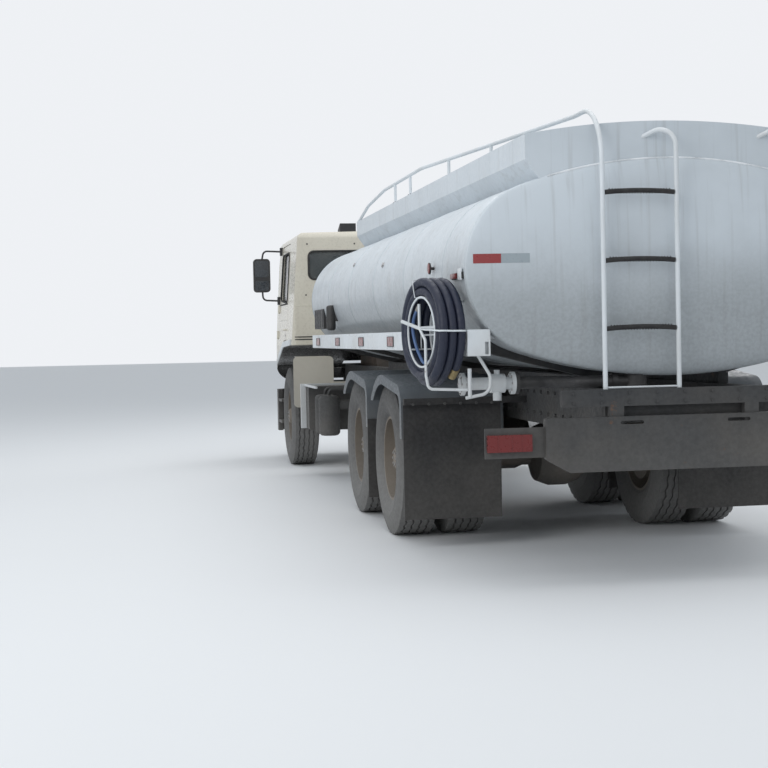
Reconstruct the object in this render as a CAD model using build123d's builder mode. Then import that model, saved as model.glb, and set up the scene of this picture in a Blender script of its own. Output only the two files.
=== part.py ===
from build123d import *
from math import cos, radians, sin, sqrt
import os

# Three-axle tank truck with a tilting cab. Millimetres, +Z up, facing -Y, its left side at +X.
os.makedirs("parts", exist_ok=True)

# Stance
front_overhang = 1400
wheelbase = 4590
tandem_spacing = 1360
rear_overhang = 2480
overall_length = front_overhang + wheelbase + tandem_spacing + rear_overhang
nose_y = -overall_length / 2
tail_y = overall_length / 2
front_axle_y = nose_y + front_overhang
drive_axle_y = front_axle_y + wheelbase
rear_axle_y = drive_axle_y + tandem_spacing
bogie_y = (drive_axle_y + rear_axle_y) / 2

# Wheels
wheel_radius = 520
tyre_width = 295
tread_half_width = 130
shoulder = 34
tread_edge = 12
rim_radius = 288
rim_width = 216
front_face_x = 1241
rear_face_x = 1205
dual_spacing = 340
front_wheel_x = front_face_x - tyre_width / 2
rear_wheel_x = rear_face_x - tyre_width / 2
running_gap = 0.3
seat_gap = 0.3

# Tank
tank_half_width = 1160
tank_half_height = 590
tank_side_radius = 470
tank_centre_z = 1706
tank_length = 6576
tank_setback = 158
head_depth = 62
tank_rear_y = tail_y - tank_setback
tank_front_y = tank_rear_y - tank_length
tank_top_z = tank_centre_z + tank_half_height
crown_radius = (
    tank_half_width ** 2 + tank_half_height ** 2 - 2 * tank_half_width * tank_side_radius
) / (2 * (tank_half_height - tank_side_radius))

# Frame
rail_outer_x = 430
rail_height = 250
rail_top_z = 1050
rail_flange = 75
rail_sheet = 9
rail_setback = 205
rail_front_y = nose_y + rail_setback
rail_rear_y = tail_y - 60
rail_bottom_z = rail_top_z - rail_height
rail_middle_z = rail_top_z - rail_height / 2
mount_x = rail_outer_x + seat_gap
sill_height = 62
sill_width = 60
sill_top_z = rail_top_z + seat_gap + sill_height

# Cab
cab_rear_y = front_axle_y + 510
cab_bottom_half_width = 1233
cab_half_width = 1205
cab_top_half_width = 1150
cab_roof_z = 2486
cab_eaves_z = cab_roof_z - 24
cab_floor_z = 1290
cab_chin_z = 885
belt_z = 1700
cab_wall = 42
cab_nose_y = nose_y + 70
cab_pivot_y = nose_y + 165
cab_pivot_z = 835
cab_pin_radius = 18

# Steering
kingpin_x = 900
kingpin_radius = 24
steering_arm = 180


def section_plane(y, z=0):
    """A plane across the truck, whose normal points forward."""
    return Plane(origin=(0, y, z), x_dir=(1, 0, 0), z_dir=(0, -1, 0))


def side_plane(x):
    """A plane along the truck, whose normal points to the left."""
    return Plane(origin=(x, 0, 0), x_dir=(0, 1, 0), z_dir=(1, 0, 0))


def box_between(low, high, mode=Mode.ADD):
    size = [b - a for a, b in zip(low, high)]
    middle = [(a + b) / 2 for a, b in zip(low, high)]
    with Locations(tuple(middle)):
        Box(*size, mode=mode)


def sided_box(side, low, high, mode=Mode.ADD):
    """A box given for the left side, or its mirror image on the right."""
    near, far = sorted((side * low[0], side * high[0]))
    box_between((near, low[1], low[2]), (far, high[1], high[2]), mode)


def rod_between(start, end, radius, mode=Mode.ADD):
    along = Vector(*end) - Vector(*start)
    with BuildSketch(Plane(origin=start, z_dir=along)) as end_face:
        Circle(radius)
    extrude(end_face.sketch, amount=along.length, mode=mode)


def bent_tube(points, bends, radius):
    with BuildLine() as route:
        FilletPolyline(*points, radius=bends)
    with BuildSketch(Plane(origin=route.line @ 0, z_dir=route.line % 0)) as end_face:
        Circle(radius)
    sweep(end_face.sketch, path=route.line)


def rounded_outline(points, bends, inset=0):
    """A closed outline with a bend at each corner, drawn in by an inset."""
    with BuildSketch() as outline:
        with BuildLine():
            FilletPolyline(*points, radius=bends, close=True)
        make_face()
        if inset:
            offset(amount=-inset, kind=Kind.INTERSECTION)
    return outline.sketch_local


def save(name, part):
    part.label = name
    export_step(part, f"parts/{name}.step")


def tank_oval(grow=0, scale=1):
    """The tank's section: wide crown arcs that run tangent into small side arcs."""
    half_width = (tank_half_width + grow) * scale
    half_height = (tank_half_height + grow) * scale
    side = (tank_side_radius + grow) * scale
    crown = (half_width ** 2 + half_height ** 2 - 2 * half_width * side) / (2 * (half_height - side))
    join_x = (half_width - side) * crown / (crown - side)
    join_z = (crown - half_height) * side / (crown - side)
    with BuildSketch() as oval:
        with BuildLine():
            ThreePointArc((-join_x, join_z), (0, half_height), (join_x, join_z))
            ThreePointArc((join_x, join_z), (half_width, 0), (join_x, -join_z))
            ThreePointArc((join_x, -join_z), (0, -half_height), (-join_x, -join_z))
            ThreePointArc((-join_x, -join_z), (-half_width, 0), (-join_x, join_z))
        make_face()
    return oval.sketch_local


def crown_z(x):
    """Height of the tank's top at a distance from its middle."""
    return tank_top_z - crown_radius + sqrt(crown_radius ** 2 - x ** 2)


# Tank body with dished heads, each from four sections (scale of the oval, share of the depth)
head_sections = ((1, 0), (0.96, 0.3), (0.7, 0.75), (0.3, 1))
with BuildPart() as tank_body:
    with BuildSketch(section_plane(tank_rear_y, tank_centre_z)):
        add(tank_oval())
    extrude(amount=tank_length)
    for head_y, outward in ((tank_rear_y, 1), (tank_front_y, -1)):
        for scale, rise in head_sections:
            with BuildSketch(section_plane(head_y + outward * rise * head_depth, tank_centre_z)):
                add(tank_oval(scale=scale))
        loft()
save("tank_body", tank_body.part)


def cut_to_tank():
    """Trims what sits on the tank to its skin."""
    past_heads = 2 * head_depth
    with BuildSketch(section_plane(tank_rear_y + past_heads, tank_centre_z)) as oval:
        add(tank_oval(grow=seat_gap))
    extrude(oval.sketch, amount=tank_length + 2 * past_heads, mode=Mode.SUBTRACT)


# Walkway coaming: slanted feet, upright walls, front wall and the arched plate over the rear head
coaming_half_width = 820
coaming_foot_x = 702
coaming_knuckle_z = tank_top_z - 11
coaming_foot_z = coaming_knuckle_z - 165
coaming_top_z = coaming_knuckle_z + 133
coaming_sheet = 8
coaming_flange = 30
coaming_front_y = tank_front_y + 743
arch_rise = 75

with BuildPart() as coaming:
    wall_x = coaming_half_width - coaming_sheet
    flange_x = coaming_half_width - coaming_flange
    for side in (1, -1):
        with BuildSketch(section_plane(tank_rear_y)):
            with BuildLine():
                Polyline(
                    (side * coaming_foot_x, coaming_foot_z),
                    (side * coaming_half_width, coaming_knuckle_z),
                    (side * coaming_half_width, coaming_top_z),
                    (side * flange_x, coaming_top_z),
                    (side * flange_x, coaming_top_z - coaming_sheet),
                    (side * wall_x, coaming_top_z - coaming_sheet),
                    (side * wall_x, coaming_knuckle_z),
                    (side * (coaming_foot_x - coaming_sheet), coaming_foot_z + coaming_sheet),
                    close=True,
                )
            make_face()
        extrude(amount=tank_rear_y - coaming_front_y)
    for wall_y, rise in ((coaming_front_y + coaming_sheet, 0), (tank_rear_y, arch_rise)):
        with BuildSketch(section_plane(wall_y)):
            with BuildLine():
                Polyline(
                    (coaming_half_width, coaming_top_z),
                    (coaming_half_width, coaming_knuckle_z),
                    (coaming_foot_x, coaming_foot_z),
                    (-coaming_foot_x, coaming_foot_z),
                    (-coaming_half_width, coaming_knuckle_z),
                    (-coaming_half_width, coaming_top_z),
                )
                if rise:
                    ThreePointArc(
                        (-coaming_half_width, coaming_top_z), (0, coaming_top_z + rise),
                        (coaming_half_width, coaming_top_z),
                    )
                else:
                    Line((-coaming_half_width, coaming_top_z), (coaming_half_width, coaming_top_z))
            make_face()
        extrude(amount=coaming_sheet)
    cut_to_tank()
save("coaming", coaming.part)

# Manways and their domed lids, one for each compartment
manway_count = 3
manway_radius = 250
manway_wall = 14
manway_top_z = tank_top_z + 62
manway_foot_z = tank_top_z - 14
first_manway_setback = 900
manway_pitch = 1900
manway_ys = [
    coaming_front_y + first_manway_setback + step * manway_pitch for step in range(manway_count)
]
lid_rim = 12
lid_dome = 26
lid_overlap = 16
lid_base_z = manway_top_z + seat_gap
lid_hinge_back = manway_radius + 48
lid_hinge_radius = 9
lid_barrel_radius = 18
lid_hinge_z = lid_base_z + lid_rim / 2
lid_ear_x = 60
lid_ear_width = 20
lid_ear_gap = 5

with BuildPart() as manways:
    for manway_y in manway_ys:
        with BuildSketch(Plane.XY.offset(manway_foot_z)):
            with Locations((0, manway_y)):
                Circle(manway_radius)
                Circle(manway_radius - manway_wall, mode=Mode.SUBTRACT)
        extrude(amount=manway_top_z - manway_foot_z)
        for side in (1, -1):
            sided_box(
                side,
                (lid_ear_x - lid_ear_width / 2, manway_y + manway_radius - 6, manway_top_z - 40),
                (lid_ear_x + lid_ear_width / 2, manway_y + lid_hinge_back + 14, lid_hinge_z + 16),
            )
        rod_between(
            (-lid_ear_x, manway_y + lid_hinge_back, lid_hinge_z),
            (lid_ear_x, manway_y + lid_hinge_back, lid_hinge_z),
            lid_hinge_radius,
        )
    cut_to_tank()
save("manways", manways.part)

lid_radius = manway_radius + lid_overlap
dome_radius = (lid_radius ** 2 + lid_dome ** 2) / (2 * lid_dome)
dome_middle = lid_rim + lid_dome - dome_radius + sqrt(dome_radius ** 2 - lid_radius ** 2 / 4)
for number, manway_y in enumerate(manway_ys, 1):
    hinge_y = manway_y + lid_hinge_back
    barrel_x = lid_ear_x - lid_ear_width / 2 - lid_ear_gap
    notch_out = lid_ear_x + lid_ear_width / 2 + lid_ear_gap
    with BuildPart() as lid:
        with BuildSketch(Plane(origin=(0, manway_y, lid_base_z), x_dir=(1, 0, 0), z_dir=(0, -1, 0))) as half:
            with BuildLine():
                Polyline((0, lid_rim + lid_dome), (0, 0), (lid_radius, 0), (lid_radius, lid_rim))
                ThreePointArc((lid_radius, lid_rim), (lid_radius / 2, dome_middle), (0, lid_rim + lid_dome))
            make_face()
        revolve(half.sketch, axis=Axis((0, manway_y, 0), (0, 0, 1)), revolution_arc=360)
        box_between((-barrel_x, manway_y + manway_radius - 10, lid_base_z), (barrel_x, hinge_y, lid_base_z + lid_rim))
        rod_between((-barrel_x, hinge_y, lid_hinge_z), (barrel_x, hinge_y, lid_hinge_z), lid_barrel_radius)
        for side in (1, -1):
            sided_box(side, (barrel_x, manway_y + manway_radius - 12, lid_base_z - 1),
                      (notch_out, hinge_y + 40, lid_base_z + 40), mode=Mode.SUBTRACT)
        rod_between((-barrel_x - 1, hinge_y, lid_hinge_z), (barrel_x + 1, hinge_y, lid_hinge_z),
                    lid_hinge_radius + running_gap, mode=Mode.SUBTRACT)
        handle_y = manway_y - manway_radius / 2
        handle_x = 70
        bent_tube(
            [(-handle_x, handle_y, lid_base_z + lid_rim), (-handle_x, handle_y, lid_base_z + 78),
             (handle_x, handle_y, lid_base_z + 78), (handle_x, handle_y, lid_base_z + lid_rim)],
            20, 7,
        )
    save(f"manway_lid_{number}", lid.part)

# Guard rail along the walkway: it rises at the front, and bends in towards the ladder at the rear
tube_radius = 13
post_radius = 11
ladder_y = tank_rear_y + 118
ladder_left_x = 433
ladder_right_x = 20
guard_x = coaming_half_width - 15
guard_rise = 148
guard_top_z = coaming_top_z + guard_rise
guard_front_y = coaming_front_y + 36
guard_ramp = 540
guard_level_y = coaming_front_y + 1426
guard_turn_y = coaming_front_y + 2966
ladder_split_y = tank_rear_y - 307
ladder_top_bend = 310
ladder_foot_z = rail_top_z + seat_gap
wall_post_ys = (coaming_front_y + 1911, coaming_front_y + 2541)
tank_post_shares = (0.22, 0.52)

with BuildPart() as guard_rail:
    bent_tube(
        [
            (guard_x, guard_front_y, coaming_top_z + seat_gap),
            (guard_x, guard_front_y + guard_ramp, coaming_top_z + 0.63 * guard_rise),
            (guard_x, guard_level_y, guard_top_z),
            (guard_x, guard_turn_y, guard_top_z),
            (ladder_left_x, ladder_split_y - 50, guard_top_z),
            (ladder_left_x, ladder_split_y, guard_top_z),
        ],
        [600, 900, 900, 300],
        tube_radius,
    )
    for post_y in wall_post_ys:
        rod_between((guard_x, post_y, coaming_top_z + seat_gap), (guard_x, post_y, guard_top_z), post_radius)
    for share in tank_post_shares:
        post_x = guard_x + share * (ladder_left_x - guard_x)
        post_y = guard_turn_y + share * (ladder_split_y - 50 - guard_turn_y)
        rod_between((post_x, post_y, crown_z(post_x) - 2 * post_radius), (post_x, post_y, guard_top_z), post_radius)
    box_between((guard_x - 3 * tube_radius, coaming_front_y - 100, coaming_top_z - 100),
                (guard_x + 3 * tube_radius, guard_level_y, coaming_top_z + seat_gap), mode=Mode.SUBTRACT)
    cut_to_tank()
save("guard_rail", guard_rail.part)

# Ladder: the guard rail's tube runs down as its left stile, and the others hook over the arched plate
rung_count = 3
rung_pitch = 362
first_rung_z = 1372
rung_radius = 13
rung_arch = 9
tie_radius = 6
hook_z = coaming_top_z - 21
hook_rise = 78
hook_bend = 95
hooked_stiles = ((ladder_right_x, 180), (-640, -480))
rung_span = ladder_left_x - ladder_right_x - 2 * tube_radius
rung_lean = 4 * rung_arch * rung_radius / rung_span
rung_left_x = ladder_left_x - tube_radius - seat_gap - rung_lean
rung_right_x = ladder_right_x + tube_radius + seat_gap + rung_lean
with BuildPart() as ladder:
    bent_tube(
        [
            (ladder_left_x, ladder_split_y, guard_top_z),
            (ladder_left_x, ladder_y, guard_top_z),
            (ladder_left_x, ladder_y, ladder_foot_z),
        ],
        [ladder_top_bend],
        tube_radius,
    )
    for stile_x, hook_x in hooked_stiles:
        bent_tube(
            [
                (hook_x, tank_rear_y - 2 * tube_radius, hook_z),
                (stile_x, ladder_y, hook_z + hook_rise),
                (stile_x, ladder_y, ladder_foot_z),
            ],
            [hook_bend],
            tube_radius,
        )
    rod_between((ladder_right_x, ladder_y, ladder_foot_z + tie_radius + 2),
                (ladder_left_x, ladder_y, ladder_foot_z + tie_radius + 2), tie_radius)
    for stile_x, hook_x in hooked_stiles:
        box_between((hook_x - 90, tank_rear_y - 90, hook_z - 60),
                    (hook_x + 90, tank_rear_y + seat_gap, hook_z + 60), mode=Mode.SUBTRACT)
save("ladder", ladder.part)

with BuildPart() as rungs:
    for step in range(rung_count):
        rung_z = first_rung_z + step * rung_pitch
        with BuildLine() as rung_path:
            ThreePointArc((rung_right_x, ladder_y, rung_z),
                          ((rung_right_x + rung_left_x) / 2, ladder_y, rung_z + rung_arch),
                          (rung_left_x, ladder_y, rung_z))
        with BuildSketch(Plane(origin=rung_path.line @ 0, z_dir=rung_path.line % 0)) as end_face:
            Circle(rung_radius)
        sweep(end_face.sketch, path=rung_path.line)
save("ladder_rungs", rungs.part)

# Frame rails, round crossmembers, the channel at the tail and the pins that the cab tilts on
cross_radius = 62
cross_ys = (rail_front_y + 60, front_axle_y + 900, drive_axle_y - 900, bogie_y, rail_rear_y - cross_radius - 10)
pivot_x = rail_outer_x - 40
pivot_ear = 20
pivot_ear_gap = 12
pivot_boss = 40
pivot_boss_radius = 32
tail_channel_half_width = 680
tail_channel_height = 90
rail_web_x = rail_outer_x - rail_sheet - seat_gap
with BuildPart() as chassis_frame:
    for side in (1, -1):
        with BuildSketch(section_plane(rail_rear_y)):
            with BuildLine():
                Polyline(
                    (side * rail_outer_x, rail_top_z),
                    (side * rail_outer_x, rail_bottom_z),
                    (side * (rail_outer_x - rail_flange), rail_bottom_z),
                    (side * (rail_outer_x - rail_flange), rail_bottom_z + rail_sheet),
                    (side * (rail_outer_x - rail_sheet), rail_bottom_z + rail_sheet),
                    (side * (rail_outer_x - rail_sheet), rail_top_z - rail_sheet),
                    (side * (rail_outer_x - rail_flange), rail_top_z - rail_sheet),
                    (side * (rail_outer_x - rail_flange), rail_top_z),
                    close=True,
                )
            make_face()
        extrude(amount=rail_rear_y - rail_front_y)
    for cross_y in cross_ys:
        rod_between((-rail_web_x, cross_y, rail_middle_z), (rail_web_x, cross_y, rail_middle_z), cross_radius)
    box_between((-tail_channel_half_width, rail_rear_y + seat_gap, rail_top_z - tail_channel_height),
                (tail_channel_half_width, tail_y - 15, rail_top_z))
    ear_low = pivot_x - pivot_boss / 2 - pivot_ear_gap - pivot_ear
    ear_high = pivot_x + pivot_boss / 2 + pivot_ear_gap
    for side in (1, -1):
        for ear_x in (ear_low, ear_high):
            with BuildSketch(side_plane(side * (ear_x + pivot_ear / 2) - pivot_ear / 2)):
                with Locations((cab_pivot_y, cab_pivot_z)):
                    Circle(pivot_boss_radius + 6)
                with Locations(((cab_pivot_y + rail_front_y) / 2, cab_pivot_z)):
                    Rectangle(rail_front_y - cab_pivot_y, 60)
            extrude(amount=pivot_ear)
        rod_between((side * (ear_low + 2), cab_pivot_y, cab_pivot_z),
                    (side * (ear_high + pivot_ear - 2), cab_pivot_y, cab_pivot_z), cab_pin_radius)
save("chassis_frame", chassis_frame.part)

# Sills on the rails, and the cradles that hold the tank
cradle_ys = (tank_front_y + 350, drive_axle_y - 1030, bogie_y, tank_rear_y - 350)
cradle_top_z = 1330
cradle_reach = 960
cradle_wing = 80
cradle_thickness = 80
with BuildPart() as sub_frame:
    for side in (1, -1):
        sided_box(side, (rail_outer_x - sill_width, tank_front_y + 60, rail_top_z + seat_gap),
                  (rail_outer_x, cradle_ys[-1] + 60, sill_top_z))
    for cradle_y in cradle_ys:
        with BuildSketch(section_plane(cradle_y + cradle_thickness / 2)):
            with BuildLine():
                Polyline(
                    (-rail_outer_x, sill_top_z + seat_gap),
                    (-cradle_reach, cradle_top_z - cradle_wing),
                    (-cradle_reach, cradle_top_z),
                    (cradle_reach, cradle_top_z),
                    (cradle_reach, cradle_top_z - cradle_wing),
                    (rail_outer_x, sill_top_z + seat_gap),
                    close=True,
                )
            make_face()
        extrude(amount=cradle_thickness)
    cut_to_tank()
save("sub_frame", sub_frame.part)

# Side rails on brackets, and the guard post with its bar between the axles on the left
side_rail_x = 1210
side_rail_top_z = 1383
side_rail_height = 118
side_rail_sheet = 5
side_rail_depth = 45
side_rail_front_y = tank_front_y + 386
side_rail_length = 4900
side_rail_rear_y = side_rail_front_y + side_rail_length
side_rail_bottom_z = side_rail_top_z - side_rail_height
box_front_y = front_axle_y + 1180
box_length = 420
box_face_x = 1200
box_bottom_z = 455
box_top_z = 885
guard_post_y = box_front_y + 170
guard_post_width = 50
guard_post_foot_z = 467
guard_bar_length = 940
guard_bar = 20
with BuildPart() as side_rails:
    for side in (1, -1):
        with BuildSketch(section_plane(side_rail_rear_y)):
            with BuildLine():
                Polyline(
                    (side * side_rail_x, side_rail_top_z),
                    (side * side_rail_x, side_rail_bottom_z),
                    (side * (side_rail_x - side_rail_depth), side_rail_bottom_z),
                    (side * (side_rail_x - side_rail_depth), side_rail_bottom_z + side_rail_sheet),
                    (side * (side_rail_x - side_rail_sheet), side_rail_bottom_z + side_rail_sheet),
                    (side * (side_rail_x - side_rail_sheet), side_rail_top_z - side_rail_sheet),
                    (side * (side_rail_x - side_rail_depth), side_rail_top_z - side_rail_sheet),
                    (side * (side_rail_x - side_rail_depth), side_rail_top_z),
                    close=True,
                )
            make_face()
        extrude(amount=side_rail_length)
        for cradle_y in cradle_ys:
            if side_rail_front_y - cradle_thickness < cradle_y < side_rail_rear_y:
                bracket_y = max(cradle_y, side_rail_front_y + 40)
                sided_box(side, (cradle_reach + seat_gap, bracket_y - 25, side_rail_bottom_z + side_rail_sheet),
                          (side_rail_x - side_rail_sheet, bracket_y + 25, side_rail_bottom_z + 30))
    box_between((box_face_x + seat_gap, guard_post_y - guard_post_width / 2, guard_post_foot_z),
                (box_face_x + guard_post_width, guard_post_y + guard_post_width / 2, box_top_z + guard_bar))
    box_between((box_face_x + seat_gap, guard_post_y, box_top_z),
                (box_face_x + guard_bar, guard_post_y + guard_bar_length, box_top_z + guard_bar))
    box_between((mount_x, guard_post_y - guard_post_width / 2, box_top_z),
                (box_face_x + guard_bar, guard_post_y + guard_post_width / 2, box_top_z + guard_bar))
save("side_rails", side_rails.part)

with BuildPart() as battery_box:
    with BuildSketch(section_plane(box_front_y + box_length)) as outline:
        add(rounded_outline(
            [(mount_x, box_top_z - seat_gap), (box_face_x, box_top_z - seat_gap), (box_face_x, box_bottom_z),
             (mount_x + 240, box_bottom_z), (mount_x, rail_bottom_z)],
            [0, 30, 40, 40, 0],
        ))
    extrude(outline.sketch, amount=box_length)
save("battery_box", battery_box.part)

# Air cylinders: domed upright vessels, each on a bracket with a bent pipe to the frame
cylinder_x = 1060
cylinder_radius = 100
cylinder_ys = (box_front_y + 580, box_front_y + 860)
cylinder_foot_z = 430
cylinder_top_z = 810
with BuildPart() as air_cylinders:
    for cylinder_y in cylinder_ys:
        with BuildSketch(Plane.XY.offset(cylinder_foot_z)) as base:
            with Locations((cylinder_x, cylinder_y)):
                Circle(cylinder_radius)
        extrude(base.sketch, amount=cylinder_top_z - cylinder_foot_z)
    ends = air_cylinders.edges().filter_by(GeomType.CIRCLE)
    fillet(ends, radius=0.4 * cylinder_radius)
    for cylinder_y in cylinder_ys:
        box_between((mount_x, cylinder_y - 30, cylinder_top_z - 130), (cylinder_x, cylinder_y + 30, cylinder_top_z - 60))
        bent_tube([(cylinder_x, cylinder_y, cylinder_top_z - 20), (cylinder_x, cylinder_y, cylinder_top_z + 60),
                   (mount_x, cylinder_y, cylinder_top_z + 60)], [40], 14)
save("air_cylinders", air_cylinders.part)

# Fuel tank on the right, with straps, a filler neck and its brackets
fuel_front_y = box_front_y + 20
fuel_length = 1100
fuel_x = 870
fuel_width = 620
fuel_z = 690
fuel_height = 560
fuel_corner = 90
strap_width = 60
strap_sheet = 4
with BuildPart() as fuel_tank:
    with BuildSketch(section_plane(fuel_front_y + fuel_length)) as outline:
        with Locations((-fuel_x, fuel_z)):
            RectangleRounded(fuel_width, fuel_height, fuel_corner)
    extrude(outline.sketch, amount=fuel_length)
    for strap_y in (fuel_front_y + 0.2 * fuel_length, fuel_front_y + 0.8 * fuel_length):
        with BuildSketch(section_plane(strap_y + strap_width / 2)) as strap:
            with Locations((-fuel_x, fuel_z)):
                RectangleRounded(fuel_width + 2 * strap_sheet, fuel_height + 2 * strap_sheet, fuel_corner + strap_sheet)
        extrude(strap.sketch, amount=strap_width)
        box_between((-fuel_x + fuel_width / 2 - 40, strap_y - strap_width / 2, rail_bottom_z + 30),
                    (-mount_x, strap_y + strap_width / 2, rail_bottom_z + 100))
    rod_between((-fuel_x, fuel_front_y + fuel_length / 2, fuel_z), (-fuel_x, fuel_front_y + fuel_length / 2, 1005), 45)
save("fuel_tank", fuel_tank.part)


def axle_plane(centre_x, axle_y):
    """A plane through an axle's centre line, whose own axes run outwards and up."""
    return Plane(origin=(centre_x, axle_y, wheel_radius), x_dir=(1, 0, 0), z_dir=(0, -1, 0))


def tyre(centre_x, axle_y):
    bead = rim_width / 2
    bulge = tyre_width / 2
    shoulder_radius = wheel_radius - shoulder
    bulge_radius = (rim_radius + wheel_radius) / 2
    tread_x = tread_half_width - tread_edge
    with BuildSketch(axle_plane(centre_x, axle_y)) as half:
        with BuildLine():
            Line((-bead, rim_radius), (bead, rim_radius))
            ThreePointArc((bead, rim_radius), (bulge, bulge_radius), (tread_half_width, shoulder_radius))
            Polyline((tread_half_width, shoulder_radius), (tread_x, wheel_radius), (-tread_x, wheel_radius),
                     (-tread_half_width, shoulder_radius))
            ThreePointArc((-tread_half_width, shoulder_radius), (-bulge, bulge_radius), (-bead, rim_radius))
        make_face()
    revolve(half.sketch, axis=Axis((centre_x, axle_y, wheel_radius), (1, 0, 0)), revolution_arc=360)


def turned(points, side, centre_x, axle_y, mode=Mode.ADD):
    """A turned piece round an axle: points are (distance outwards, radius)."""
    with BuildSketch(axle_plane(centre_x, axle_y)) as half:
        with BuildLine():
            Polyline(*[(side * out, radius) for out, radius in points], close=True)
        make_face()
    axle = Axis((centre_x, axle_y, wheel_radius), (1, 0, 0))
    revolve(half.sketch, axis=axle, revolution_arc=360, mode=mode)


rim_sheet = 16
rim_inner_radius = rim_radius - rim_sheet
disc_thickness = 14
disc_dish_radius = 150
hub_radius = 92
drum_radius = 205
hand_hole_count = 10
hand_hole_radius = 24
hand_hole_circle = 218
spindle_radius = 42
axle_end_radius = 58


def rim_barrel(side, centre_x, axle_y):
    half = rim_width / 2
    turned([(-half, rim_inner_radius), (half, rim_inner_radius), (half, rim_radius), (-half, rim_radius)],
           side, centre_x, axle_y)


def wheel_disc(side, centre_x, axle_y, seat_out, face_out):
    """A dished disc with hand holes, from the rim's barrel to the hub."""
    with BuildPart() as disc:
        turned(
            [(seat_out, rim_inner_radius + 4), (face_out, disc_dish_radius), (face_out, hub_radius - 10),
             (face_out - disc_thickness, hub_radius - 10), (face_out - disc_thickness, disc_dish_radius + 4),
             (seat_out - disc_thickness, rim_inner_radius + 4)],
            side, centre_x, axle_y,
        )
        with BuildSketch(Plane(origin=(centre_x - side * rim_width, axle_y, wheel_radius), z_dir=(side, 0, 0))) as holes:
            with PolarLocations(hand_hole_circle, hand_hole_count):
                Circle(hand_hole_radius)
        extrude(holes.sketch, amount=2 * rim_width, mode=Mode.SUBTRACT)
    return disc.part


front_disc_seat = 20
front_disc_face = 62
hub_in = -118
hub_out = 128
drum_in = -92
drum_out = 34
spindle_end = hub_out - 44
twin_face = dual_spacing / 2
twin_seat = 30
twin_hub_out = dual_spacing + 84
knuckle_lug = 35
knuckle_drop = 105
knuckle_side_in = 50
knuckle_side_out = 70
arm_thickness = 22
arm_half_width = 24
for side_name, side in (("left", 1), ("right", -1)):
    centre_x = side * front_wheel_x
    with BuildPart() as front_tyre:
        tyre(centre_x, front_axle_y)
    save(f"front_tyre_{side_name}", front_tyre.part)
    front_disc = wheel_disc(side, centre_x, front_axle_y, front_disc_seat, front_disc_face)
    with BuildPart() as front_rim:
        rim_barrel(side, centre_x, front_axle_y)
        add(front_disc)
        turned([(hub_in, 0), (hub_in, hub_radius), (hub_out - 30, hub_radius), (hub_out, 70), (hub_out, 0)],
               side, centre_x, front_axle_y)
        turned([(drum_in, hub_radius - 8), (drum_in, drum_radius), (drum_out, drum_radius),
                (drum_out, hub_radius - 8)], side, centre_x, front_axle_y)
        turned([(hub_in - 5, 0), (hub_in - 5, spindle_radius + running_gap),
                (spindle_end + 4, spindle_radius + running_gap), (spindle_end + 4, 0)],
               side, centre_x, front_axle_y, mode=Mode.SUBTRACT)
    save(f"front_rim_{side_name}", front_rim.part)

    with BuildPart() as knuckle:
        for lug_z in (wheel_radius - knuckle_drop, wheel_radius + knuckle_drop - knuckle_lug):
            with BuildSketch(Plane.XY.offset(lug_z)):
                with Locations((side * kingpin_x, front_axle_y)):
                    Circle(46)
                with Locations((side * (kingpin_x + knuckle_side_out / 2), front_axle_y)):
                    Rectangle(knuckle_side_out, 92)
            extrude(amount=knuckle_lug)
        sided_box(side, (kingpin_x + knuckle_side_in, front_axle_y - 46, wheel_radius - knuckle_drop),
                  (kingpin_x + knuckle_side_out, front_axle_y + 46, wheel_radius + knuckle_drop))
        rod_between((side * kingpin_x, front_axle_y, wheel_radius - knuckle_drop + 5),
                    (side * kingpin_x, front_axle_y, wheel_radius + knuckle_drop - 5), kingpin_radius)
        rod_between((side * (kingpin_x + knuckle_side_in), front_axle_y, wheel_radius),
                    (centre_x + side * spindle_end, front_axle_y, wheel_radius), spindle_radius)
        with BuildSketch(Plane.XY.offset(wheel_radius - knuckle_drop)):
            with BuildLine():
                Polyline(
                    (side * (kingpin_x - 34), front_axle_y + 20),
                    (side * (kingpin_x + 34), front_axle_y + 20),
                    (side * (kingpin_x + arm_half_width), front_axle_y + steering_arm + arm_half_width),
                    (side * (kingpin_x - arm_half_width), front_axle_y + steering_arm + arm_half_width),
                    close=True,
                )
            make_face()
        extrude(amount=arm_thickness)
    save(f"knuckle_{side_name}", knuckle.part)

    outer_x = side * rear_wheel_x
    inner_x = side * (rear_wheel_x - dual_spacing)
    for axle_name, axle_y in (("drive", drive_axle_y), ("rear", rear_axle_y)):
        with BuildPart() as twin_tyres:
            tyre(outer_x, axle_y)
            tyre(inner_x, axle_y)
        save(f"{axle_name}_tyres_{side_name}", twin_tyres.part)
        outer_disc = wheel_disc(side, outer_x, axle_y, -twin_seat, -twin_face + disc_thickness)
        inner_disc = wheel_disc(side, inner_x, axle_y, twin_seat, twin_face)
        with BuildPart() as twin_rims:
            rim_barrel(side, outer_x, axle_y)
            rim_barrel(side, inner_x, axle_y)
            add(outer_disc)
            add(inner_disc)
            turned([(-110, 0), (-110, hub_radius), (twin_hub_out - 24, hub_radius), (twin_hub_out, 66),
                    (twin_hub_out, 0)], side, inner_x, axle_y)
            turned([(-100, hub_radius - 8), (-100, drum_radius), (twin_face - 20, drum_radius),
                    (twin_face - 20, hub_radius - 8)], side, inner_x, axle_y)
            turned([(-130, 0), (-130, axle_end_radius + running_gap),
                    (dual_spacing + 40, axle_end_radius + running_gap), (dual_spacing + 40, 0)],
                   side, inner_x, axle_y, mode=Mode.SUBTRACT)
        save(f"{axle_name}_rims_{side_name}", twin_rims.part)

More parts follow.
